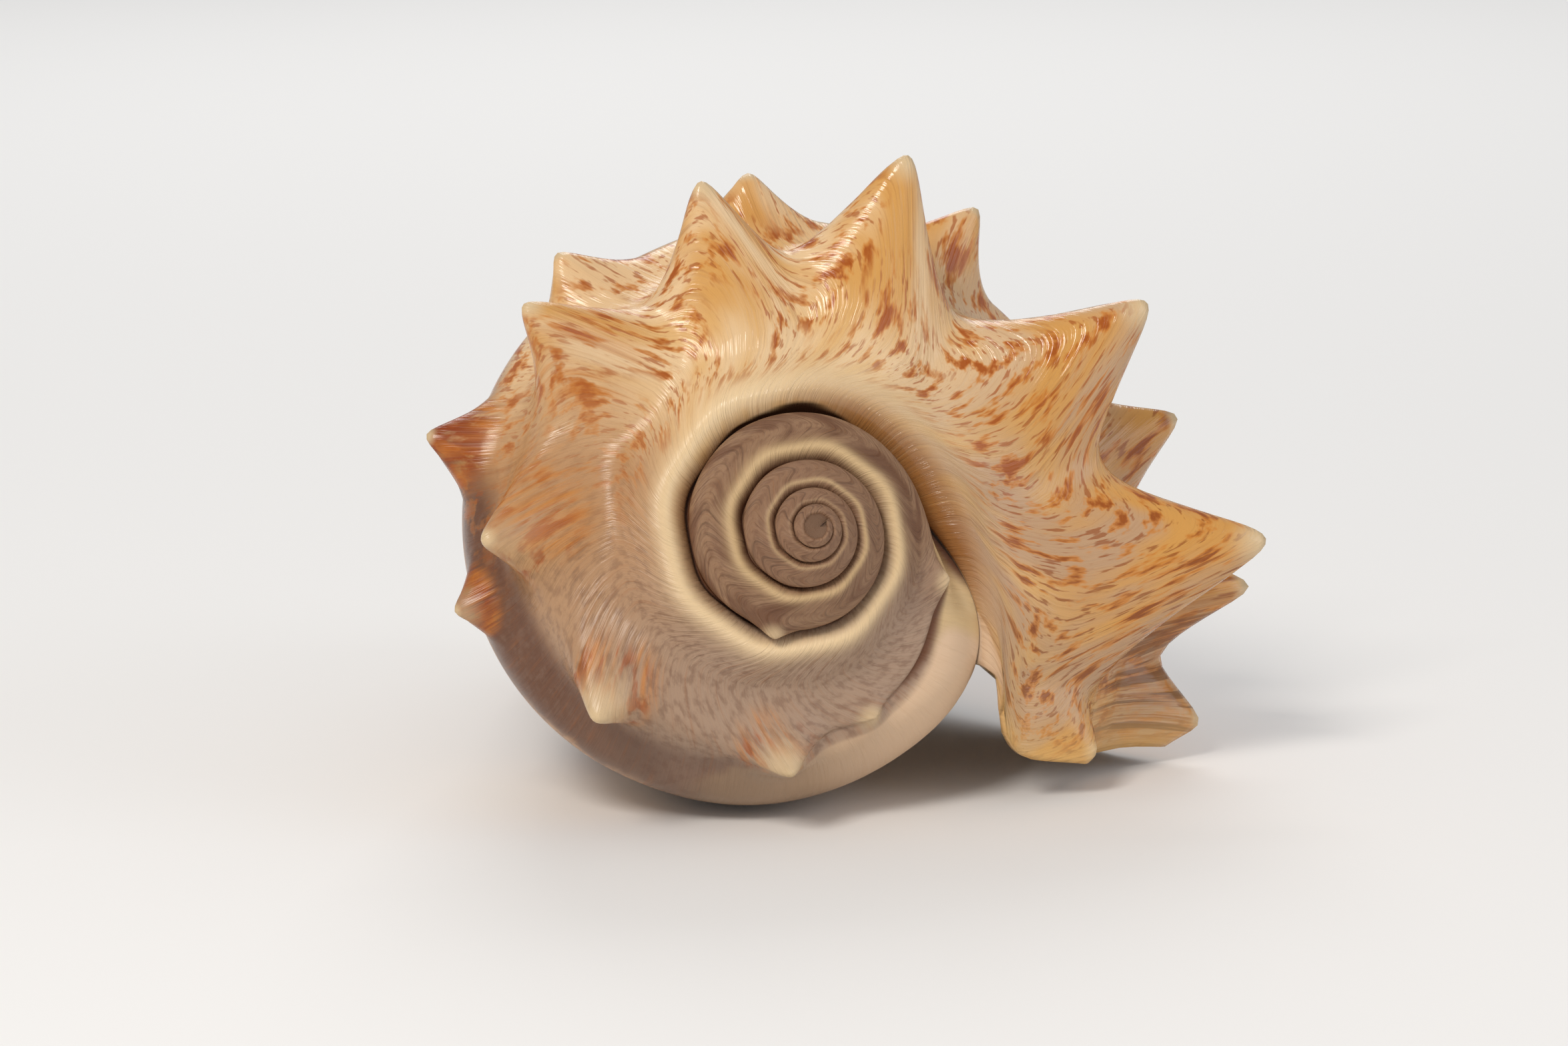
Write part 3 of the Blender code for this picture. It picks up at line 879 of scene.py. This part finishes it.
        ids = np.full((whole + 1, columns), -1, int)
        ids[:, 1 : seam + 1] = add(0, whole + 1, 1, seam + 1)
        ids[: whole - rows + 1, 0] = ids[rows:, seam]
        apex = np.array([[[0.0, 0.0, -self.pole_depth]]])
        pole = net.add(apex, {Zone.AGE: np.array([[self.coil.turns]])}, np.zeros((1, 1, 3)))[0, 0]
        ids[whole - rows + 1 :, 0] = pole
        body = rows + deep
        ids[: body + 1, seam + 1 : columns - 1] = add(0, body + 1, seam + 1, columns - 1)
        tip = add(rows, body + 1, columns - 1, columns)[:, 0]
        ids[:rows, -1] = tip[0]
        ids[rows : body + 1, -1] = tip
        net.strip(ids[:, : seam + 1])
        net.strip(ids[: rows + 1, seam:])
        net.strip(ids[rows : body + 1, seam + 1 :])
        net.fan(pole, ids[whole, 1 : seam + 1])
        self.add_inside(net, age[: deep + 1], grid[rows : body + 1, seam + 1], ids, tip)
        return net

    def add_inside(self, net: Net, age: Array, corner: Array, ids: Array, tip: Array) -> None:
        """Adds the inside of the opening, the lip's edge and the hollow's end.

        Args:
            net: The net so far.
            age: The ages that the hollow runs over.
            corner: Where the inside meets the older whorl.
            ids: The outside's point numbers.
            tip: The numbers of the points along the canal's end.
        """
        rows = self.rows_per_turn
        deep = len(age) - 1
        seam = len(TOP_PLACES) - 1
        place = np.repeat(self.coil.places_at(np.array([0.0])), deep + 1, axis=0)
        place = (place - place[:, :1]) * LAST / (LAST - place[:, :1])
        ages = np.repeat(age[:, None], place.shape[1], axis=1)
        inside = along(self.coil.inner_lines(age, corner), place)
        near_lip = np.exp(-ages / self.lip_spine_run)
        inside, _ = Crown(self.coil).raise_points(inside, ages, place, near_lip)
        zones = {Zone.AGE: ages, Zone.PLACE: place, Zone.INSIDE: np.ones(ages.shape),
                 Zone.LIP: self.lip_margin(ages)}
        part = {zone: value[:, 1:-1] for zone, value in zones.items()}
        inner = np.full(ages.shape, -1, int)
        inner[:, 1:-1] = net.add(inside[:, 1:-1], part, self.grain(ages, place)[:, 1:-1])
        inner[:, 0] = ids[rows : rows + deep + 1, seam + 1]
        inner[:, -1] = tip
        net.strip(inner, flip=True)
        net.strip(np.stack([inner[0], ids[0]]))
        net.bridge(inner[deep], ids[rows + deep, seam + 1 :])

    def turn(self) -> Array:
        """The turn from the coil's own frame to the resting one, as a 3 by 3 matrix."""
        return turn_about(Axis.X, LYING + self.pitch) @ turn_about(Axis.Z, self.roll)

    def build(self) -> bpy.types.Object:
        """Builds the shell as a mesh object on the ground.

        Returns:
            The object, which holds its zones as attributes of its points.
        """
        net = self.build_net()
        points = np.concatenate(net.points) @ self.turn().T
        low, high = points.min(axis=0), points.max(axis=0)
        middle = (low + high) / 2.0
        self.shift = np.array([middle[0], middle[1], low[2] + self.ground_wear])
        points = points - self.shift
        points[:, 2] = np.maximum(points[:, 2], 0.0)
        mesh = bpy.data.meshes.new(self.name)
        mesh.from_pydata((points * MM).tolist(), [], net.closed_faces())
        stores = {zone.value: ("FLOAT", "value", net.zones[zone]) for zone in Zone}
        stores[GRAIN] = ("FLOAT_VECTOR", "vector", net.grain)
        for name, (kind, key, parts) in stores.items():
            store = mesh.attributes.new(name, kind, "POINT")
            store.data.foreach_set(key, np.concatenate(parts).astype(np.float32).ravel())
        mesh.polygons.foreach_set("use_smooth", [True] * len(mesh.polygons))
        mesh.update()
        shell = bpy.data.objects.new(self.name, mesh)
        bpy.context.scene.collection.objects.link(shell)
        return shell

    def in_room(self, point: Array) -> Vector:
        """A point of the coil's own frame, in metres in the resting one."""
        return Vector(((self.turn() @ point - self.shift) * MM).tolist())


def add_node(tree: bpy.types.NodeTree, kind: str,
             inputs: dict[str | int, Socket | float | Stops] | None = None,
             **settings: str) -> bpy.types.Node:
    """Adds a node with its settings and links.

    Args:
        tree: The material's node tree.
        kind: The node's type.
        inputs: Values or linked sockets, by the input's name or number.
        **settings: The node's own settings.

    Returns:
        The new node.
    """
    node = tree.nodes.new(kind)
    for name, value in settings.items():
        setattr(node, name, value)
    for key, value in (inputs or {}).items():
        if isinstance(value, Socket):
            tree.links.new(value, node.inputs[key])
        else:
            node.inputs[key].default_value = value
    return node


class Pigment(Enum):
    """The shell's colours, as sRGB hex."""

    RAMP = "#E8C698"
    RAMP_YOUNG = "#BE9975"
    RAMP_WARM = "#DCAC67"
    RAMP_MID = "#B2845A"
    RAMP_OLD = "#A88C75"
    WHORL = "#977558"
    WHORL_DARK = "#6E4A33"
    SPIRE = "#8F6C51"
    SIDE = "#C99562"
    SIDE_OLD = "#6A4631"
    SIDE_WORN = "#8B7261"
    BAND = "#C9A67F"
    BLOTCH = "#A24C00"
    BLOTCH_EDGE = "#C97E2E"
    STREAK = "#9C5E2C"
    DARK_STREAK_AND_SHADE = "#643818"
    GLOW = "#D0923C"
    RUST = "#8A3600"
    RIM = "#EED1A4"
    # Dark brown of real streaks, also used for painted shade in the channel and in the crack beside
    # the callus.
    RIM_OLD = "#D4B484"
    RIM_FLANK = "#96612F"
    # Near-black painted shade in the channel between whorls, also used for real dark hairlines on the
    # older whorls.
    CHANNEL_SHADE = "#2A150A"
    TIP = "#D9BD93"
    CALLUS = "#DDBC9A"
    # Painted shade on the lower callus, which faces down.
    CALLUS_SHADED = "#93785F"
    LIP = "#D9AE6C"
    INSIDE = "#E6CBB2"


class Pattern(Enum):
    """Noise in flecks: mm along the whorl, mm across it, detail, and a shift of its own."""

    CLOUDS = (8.0, 11.0, 2.0, 3.0)
    PATCHES = (14.0, 9.0, 1.0, 29.0)
    STREAKS = (0.75, 14.0, 3.0, 7.0)
    HAIRS = (0.3, 9.0, 2.0, 23.0)
    MOTTLE = (1.2, 1.6, 3.0, 11.0)
    GROUPS = (7.0, 9.0, 1.0, 53.0)
    SPOTS = (2.0, 3.4, 3.5, 17.0)
    FLECKS = (0.7, 2.2, 2.0, 37.0)


@dataclass(frozen=True)
class Soft:
    """A soft step of a source between two limits, from 0 to top."""

    source: "Source"
    low: float
    high: float
    top: float = 1.0


@dataclass(frozen=True)
class Blend:
    """A source times a number, plus another source."""

    source: "Source"
    times: float
    added: "Source"


@dataclass(frozen=True)
class Coat:
    """A colour, or coats that make one, laid over those before it where all its masks are."""

    colour: "Pigment | tuple[Coat, ...]"
    masks: "tuple[Source, ...]" = ()


Source = Zone | Pattern | Soft | Blend
AGE, PLACE, TIP = Zone.AGE, Zone.PLACE, Zone.TIP
CLOUDS, PATCHES, STREAKS, HAIRS, MOTTLE, GROUPS, SPOTS, FLECKS = Pattern

# Masks that several coats share. Limits of an age are turns back from the lip.
YOUNG = Soft(AGE, 0.64, 0.44)
OLD = Soft(AGE, 0.42, 0.72)
WAVY = Blend(CLOUDS, 1.4, PLACE)
BELOW_KEEL = Soft(Blend(YOUNG, -1.5, PLACE), 5.4, 6.2)
DENSE = Blend(Soft(AGE, 0.32, 0.02, 0.22), 1.0, GROUPS)
MARKED = (YOUNG, Soft(PLACE, 2.3, 3.2), Soft(DENSE, 0.34, 0.50))
OLD_SPINE = (Soft(TIP, 0.03, 0.25), Soft(TIP, 0.85, 0.6), Soft(AGE, 0.42, 0.50), Soft(AGE, 0.90, 0.80))
LIP_EDGE = (Soft(AGE, 0.10, 0.0), Soft(PLACE, 5.4, 6.4))

RAMP_COATS = (
    Coat(Pigment.RAMP),
    Coat(Pigment.RAMP_YOUNG, (Soft(AGE, 0.29, 0.14),)),
    Coat(Pigment.RAMP_WARM, (Soft(CLOUDS, 0.42, 0.68, 0.7),)),
    Coat(Pigment.RAMP_MID, (Soft(AGE, 0.45, 0.56, 0.9),)),
    Coat(Pigment.RAMP_OLD, (Soft(AGE, 0.54, 0.80),)),
)
SIDE_COATS = (
    Coat(Pigment.SIDE),
    Coat(Pigment.BAND, (Soft(WAVY, 8.1, 8.6), Soft(WAVY, 9.9, 9.4))),
    Coat(Pigment.SIDE_OLD, (Soft(AGE, 0.42, 0.56), Soft(WAVY, 8.3, 7.9))),
    Coat(Pigment.SIDE_OLD, (Soft(AGE, 0.40, 0.75), Soft(WAVY, 9.5, 10.0))),
    Coat(Pigment.SIDE_WORN, (Soft(AGE, 0.66, 0.78, 0.75), Soft(WAVY, 8.6, 8.1))),
    Coat(Pigment.SIDE_WORN, (Soft(AGE, 0.45, 0.6), Soft(MOTTLE, 0.45, 0.7, 0.35))),
)
WHORL_COATS = (Coat(Pigment.WHORL), Coat(Pigment.WHORL_DARK, (Soft(CLOUDS, 0.42, 0.62, 0.9),)))
BLOTCH_COATS = (Coat(Pigment.BLOTCH), Coat(Pigment.DARK_STREAK_AND_SHADE, (Soft(AGE, 0.20, 0.05, 0.5),)))
RIM_COATS = (Coat(Pigment.RIM), Coat(Pigment.RIM_OLD, (Soft(AGE, 0.8, 1.3),)))
# Painted shade in the channel: dark brown near the lip, near black further back, dark brown again in
# the crack beside the callus.
CHANNEL_COATS = (
    Coat(Pigment.DARK_STREAK_AND_SHADE),
    Coat(Pigment.CHANNEL_SHADE, (Soft(AGE, 0.16, 0.26),)),
    Coat(Pigment.DARK_STREAK_AND_SHADE, (Soft(AGE, 0.84, 0.95),)),
)
CALLUS_COATS = (
    Coat(Pigment.CALLUS),
    # Painted shade on the part of the callus that faces down.
    Coat(Pigment.CALLUS_SHADED, (Soft(AGE, 0.96, 0.78), Soft(AGE, 0.2, 0.4))),
)

SHELL_COATS = (
    # Cream ramp, browner side, dull older whorls.
    Coat(RAMP_COATS),
    Coat(SIDE_COATS, (BELOW_KEEL,)),
    Coat(WHORL_COATS, (Soft(AGE, 0.98, 1.12),)),
    Coat(Pigment.SPIRE, (Soft(AGE, 1.8, 2.2, 0.8),)),
    # Warm spines, and rust on the older ones.
    Coat(Pigment.GLOW, (Soft(TIP, 0.02, 0.42), Soft(CLOUDS, 0.36, 0.62, 0.7), Soft(AGE, 0.72, 0.40))),
    Coat(Pigment.RUST, (Soft(TIP, 0.04, 0.35), Soft(PLACE, 5.9, 6.5), Soft(AGE, 0.46, 0.50),
                        Soft(AGE, 0.75, 0.62), Soft(STREAKS, 0.18, 0.46), Soft(MOTTLE, 0.30, 0.52))),
    Coat(Pigment.BLOTCH_EDGE, (*OLD_SPINE, Soft(STREAKS, 0.34, 0.66, 0.75),
                               Soft(GROUPS, 0.32, 0.54))),
    Coat(Pigment.BLOTCH, (*OLD_SPINE, Soft(TIP, 0.10, 0.35), Soft(SPOTS, 0.49, 0.60, 0.75))),
    # Thin streaks along the growth lines.
    Coat(Pigment.STREAK, (Soft(STREAKS, 0.52, 0.76, 0.42), Soft(PATCHES, 0.38, 0.60))),
    Coat(Pigment.STREAK, (Soft(HAIRS, 0.54, 0.78, 0.24),)),
    Coat(Pigment.SIDE_OLD, (Soft(MOTTLE, 0.44, 0.66, 0.42), OLD)),
    # Real dark hairlines on the older whorls, in the near-black of the painted channel shade.
    Coat(Pigment.CHANNEL_SHADE, (Soft(STREAKS, 0.50, 0.70, 0.40), Soft(AGE, 0.95, 1.2))),
    # Orange blotches with paler edges, browner towards the lip.
    Coat(Pigment.BLOTCH_EDGE, (Soft(SPOTS, 0.505, 0.585, 0.8), *MARKED)),
    Coat(BLOTCH_COATS, (Soft(SPOTS, 0.555, 0.66, 0.9), *MARKED)),
    Coat(BLOTCH_COATS, (Soft(FLECKS, 0.555, 0.65, 0.7), *MARKED)),
    # Crowded lines at the edge of the lip.
    Coat(Pigment.BLOTCH_EDGE, (Soft(MOTTLE, 0.42, 0.62, 0.6), *LIP_EDGE)),
    Coat(Pigment.STREAK, (Soft(HAIRS, 0.42, 0.60, 0.7), *LIP_EDGE)),
    Coat(Pigment.DARK_STREAK_AND_SHADE, (Soft(STREAKS, 0.53, 0.60, 0.85), *LIP_EDGE)),
    # Worn tips, smallest on the young spines.
    Coat(Pigment.TIP, (Soft(TIP, 0.84, 0.99), Soft(AGE, 0.95, 0.80))),
    Coat(Pigment.TIP, (Soft(TIP, 0.30, 0.85, 0.75), Soft(AGE, 0.55, 0.65))),
    # Cream laps beside the callus, the rim with its brown flank, and painted shade in the channel and
    # beside the callus.
    Coat(Pigment.RIM_OLD, (Soft(PLACE, 5.1, 5.4), Soft(AGE, 0.97, 1.02), Soft(AGE, 1.16, 1.10))),
    Coat(RIM_COATS, (Zone.RIM, Soft(AGE, 4.2, 1.0, 0.95), Soft(AGE, 0.06, 0.34))),
    Coat(Pigment.RIM_FLANK, (Soft(PLACE, 2.9, 1.3), Soft(AGE, 0.42, 0.24), Soft(AGE, 0.03, 0.08),
                             Soft(STREAKS, 0.0, 0.50, 0.9))),
    Coat(CHANNEL_COATS, (Soft(Zone.CHANNEL_SHADE, 0.35, 0.95),)),
    # Smooth cream where the animal lay against the shell, with painted shade on its lower part.
    Coat(CALLUS_COATS, (Soft(Zone.CALLUS, 0.15, 0.6),)),
    Coat(Pigment.INSIDE, (Zone.INSIDE,)),
    Coat(Pigment.LIP, (Zone.LIP,)),
)


class Brush:
    """Turns sources and coats into nodes, each source only once."""

    def __init__(self, tree: bpy.types.NodeTree) -> None:
        """Starts with the grain, which every pattern follows.

        Args:
            tree: The material's node tree.
        """
        self.tree = tree
        self.made: dict[Source, Socket] = {}
        self.grain = add_node(tree, "ShaderNodeAttribute", attribute_name=GRAIN).outputs["Vector"]

    def signal(self, source: Source) -> Socket:
        """Gives the socket of a source.

        Args:
            source: A zone of the mesh, a pattern, or what is made of them.

        Returns:
            Its socket, which is made at the first call.
        """
        if source in self.made:
            return self.made[source]
        tree = self.tree
        match source:
            case Zone():
                node = add_node(tree, "ShaderNodeAttribute", attribute_name=source.value)
            case Pattern():
                along_mm, across_mm, detail, shift = source.value
                sizes = {0: self.grain, 1: (1.0 / along_mm, 1.0 / across_mm, 1.0), 2: (shift,) * 3}
                moved = add_node(tree, "ShaderNodeVectorMath", sizes, operation="MULTIPLY_ADD")
                noise = {"Vector": moved.outputs[0], "Scale": 1.0, "Detail": detail}
                noise["Roughness"] = NOISE_ROUGHNESS
                node = add_node(tree, "ShaderNodeTexNoise", noise)
            case Soft():
                limits = {0: self.signal(source.source), 1: source.low, 2: source.high, 4: source.top}
                node = add_node(tree, "ShaderNodeMapRange", limits, interpolation_type="SMOOTHSTEP")
            case Blend():
                terms = {0: self.signal(source.source), 1: source.times, 2: self.signal(source.added)}
                node = add_node(tree, "ShaderNodeMath", terms, operation="MULTIPLY_ADD")
        self.made[source] = node.outputs["Fac" if isinstance(source, Zone) else 0]
        return self.made[source]

    def lay(self, coats: tuple[Coat, ...]) -> Socket | Colour:
        """Lays coats over each other.

        Args:
            coats: The coats, the first of which covers everything.

        Returns:
            The colour that shows.
        """
        shown: Socket | Colour | None = None
        for coat in coats:
            own = coat.colour
            colour = srgb(own.value) if isinstance(own, Pigment) else self.lay(own)
            if shown is None:
                shown = colour
                continue
            mask = self.signal(coat.masks[0])
            for other in coat.masks[1:]:
                both = {0: mask, 1: self.signal(other)}
                mask = add_node(self.tree, "ShaderNodeMath", both, operation="MULTIPLY").outputs[0]
            over = {0: mask, 6: shown, 7: colour}
            shown = add_node(self.tree, "ShaderNodeMix", over, data_type="RGBA").outputs[2]
        return shown


@dataclass(frozen=True)
class CalciteFinish:
    """Grown calcium carbonate, glossy where young and dull where old and worn.

    A thin glassy outer layer gives the young whorls soft highlights. Pigment was laid down
    along the growth lines, so every mark is a streak across the whorl. Wear runs between two
    ages, from one roughness to another. A bump has a pattern, a strength and a height in mm.
    """

    coats: tuple[Coat, ...] = SHELL_COATS
    ior: float = 1.53
    gloss_share: float = 0.4
    wear: Stops = (0.35, 1.1, 0.15, 0.55)
    bumps: tuple[tuple[Pattern, float, float], ...] = ((STREAKS, 0.5, 0.5), (HAIRS, 0.4, 0.15))

    def build(self) -> bpy.types.Material:
        """Makes the material.

        Returns:
            The material, which reads the shell's zones and grain.
        """
        material = bpy.data.materials.new("calcite_glossy_pigmented")
        material.use_nodes = True
        tree = material.node_tree
        shader = tree.nodes["Principled BSDF"]
        brush = Brush(tree)
        tree.links.new(brush.lay(self.coats), shader.inputs["Base Color"])
        young, old, glossy, dull = self.wear
        limits = {0: brush.signal(AGE), 1: young, 2: old, 3: glossy, 4: dull}
        rough = add_node(tree, "ShaderNodeMapRange", limits).outputs[0]
        tree.links.new(rough, shader.inputs["Roughness"])
        shader.inputs["IOR"].default_value = self.ior
        shader.inputs["Specular IOR Level"].default_value = self.gloss_share
        normal = {}
        for pattern, strength, height in self.bumps:
            shape = {"Height": brush.signal(pattern), "Strength": strength, "Distance": height * MM}
            bump = add_node(tree, "ShaderNodeBump", shape | normal)
            normal = {"Normal": bump.outputs["Normal"]}
        tree.links.new(normal["Normal"], shader.inputs["Normal"])
        return material


@dataclass(frozen=True)
class PaperFinish:
    """Matt off-white card, with no gloss of its own."""

    colour: str = "#F4F3F1"
    roughness: float = 0.9

    def build(self) -> bpy.types.Material:
        """Makes the material.

        Returns:
            The material.
        """
        material = bpy.data.materials.new("card_matt_white")
        material.use_nodes = True
        shader = material.node_tree.nodes["Principled BSDF"]
        shader.inputs["Base Color"].default_value = srgb(self.colour)
        shader.inputs["Roughness"].default_value = self.roughness
        return material


@dataclass(frozen=True)
class SoftLight:
    """A square soft box, by where it stands. It is aimed at the middle of the shell."""

    name: str
    place: Triple
    side: float
    watts: float
    colour: str = "#FFFFFF"
    aim: Triple = (0.0, -0.02, 0.035)

    def build(self) -> bpy.types.Object:
        """Makes the light.

        Returns:
            The light.
        """
        data = bpy.data.lights.new(self.name, "AREA")
        data.shape = "SQUARE"
        data.size = self.side
        data.energy = self.watts
        data.color = srgb(self.colour)[:3]
        light = bpy.data.objects.new(self.name, data)
        light.location = self.place
        away = Vector(self.aim) - Vector(self.place)
        light.rotation_euler = away.to_track_quat("-Z", "Y").to_euler()
        bpy.context.scene.collection.objects.link(light)
        return light


@dataclass(frozen=True)
class Studio:
    """The floor, the lights and the camera.

    The camera stands camera_range mm from the spire's tip, turned by swing and tilt from the
    coil's axis, and it looks apex_off mm to the side of the tip and above it.
    """

    floor_side: float = 12.0
    sky: str = "#F2F3F5"
    sky_strength: float = 0.5
    lights: tuple[SoftLight, ...] = (
        SoftLight("key", (-0.50, -0.60, 0.70), 0.28, 5.2, "#FFF8F0"),
        SoftLight("fill", (0.75, -0.60, 0.35), 0.60, 1.6, "#F2F6FF"),
        SoftLight("back", (0.15, 0.80, 0.70), 0.60, 3.0),
    )
    camera_range: float = 650.0
    pixels_per_mm: float = 13.395
    sensor: float = 36.0
    tilt: float = -5.2
    swing: float = 13.5
    apex_off: Pair = (4.03, 0.42)
    clip: Pair = (0.05, 20.0)

    def build_floor(self) -> bpy.types.Object:
        """Makes the plain floor.

        Returns:
            The floor.
        """
        half = self.floor_side / 2.0
        corners = [(-half, -half, 0.0), (half, -half, 0.0), (half, half, 0.0), (-half, half, 0.0)]
        mesh = bpy.data.meshes.new("floor")
        mesh.from_pydata(corners, [], [(0, 1, 2, 3)])
        mesh.materials.append(PaperFinish().build())
        floor = bpy.data.objects.new("floor", mesh)
        bpy.context.scene.collection.objects.link(floor)
        floor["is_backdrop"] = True
        return floor

    def build_lights(self) -> None:
        """Makes the pale surroundings and the soft boxes."""
        world = bpy.data.worlds.new("pale_room")
        world.use_nodes = True
        sky = world.node_tree.nodes["Background"]
        sky.inputs["Color"].default_value = srgb(self.sky)
        sky.inputs["Strength"].default_value = self.sky_strength
        bpy.context.scene.world = world
        bpy.context.scene.view_settings.view_transform = "Standard"
        for light in self.lights:
            light.build()

    def build_camera(self, shell: ShellBody) -> bpy.types.Object:
        """Makes the camera at the photo's angle.

        Args:
            shell: The shell, which says how its coil lies in the room.

        Returns:
            The camera, looking almost down the coil from the spire's end.
        """
        axes = (turn_about(Axis.Y, self.swing) @ turn_about(Axis.X, self.tilt)).T
        right, up, back = (shell.turn() @ axes[:, k] for k in range(3))
        apex = np.array(shell.in_room(np.zeros(3)))
        off = (up * self.apex_off[1] - right * self.apex_off[0]) * MM
        place = apex + back * self.camera_range * MM
        away = place - apex - off
        away /= np.linalg.norm(away)
        across = np.cross(up, away)
        across /= np.linalg.norm(across)
        upright = np.cross(away, across)
        data = bpy.data.cameras.new("photo_view")
        data.sensor_width = self.sensor
        data.lens = self.pixels_per_mm * self.camera_range * self.sensor / PHOTO_WIDTH
        data.clip_start, data.clip_end = self.clip
        camera = bpy.data.objects.new("photo_view", data)
        rows = np.stack([across, upright, away, place], axis=1).tolist()
        camera.matrix_world = Matrix([*rows, [0.0, 0.0, 0.0, 1.0]])
        bpy.context.scene.collection.objects.link(camera)
        bpy.context.scene.camera = camera
        return camera


def write_sizes() -> None:
    """Works out the solid's box and the visual model's box."""
    boxes = {"cad": CAD_BOX, "visual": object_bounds()}
    sizes = {name: [list(corner) for corner in box] for name, box in boxes.items()}


def main() -> None:
    """Builds the shell, its finish and the studio, and reports each."""
    logging.basicConfig(level=logging.INFO, format="%(name)s: %(message)s")
    body = ShellBody()
    shell = body.build()
    shell.data.materials.append(CalciteFinish().build())
    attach(shell, "root")
    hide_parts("shell")
    LOG.info("%s: %d faces", shell.name, len(shell.data.polygons))
    studio = Studio()
    LOG.info("floor: %s", studio.build_floor().name)
    studio.build_lights()
    camera = studio.build_camera(body)
    stand = [round(v, 3) for v in camera.matrix_world.translation]
    LOG.info("camera: lens %.1f mm at %s", camera.data.lens, stand)
    write_sizes()


if __name__ == "__main__":
    main()
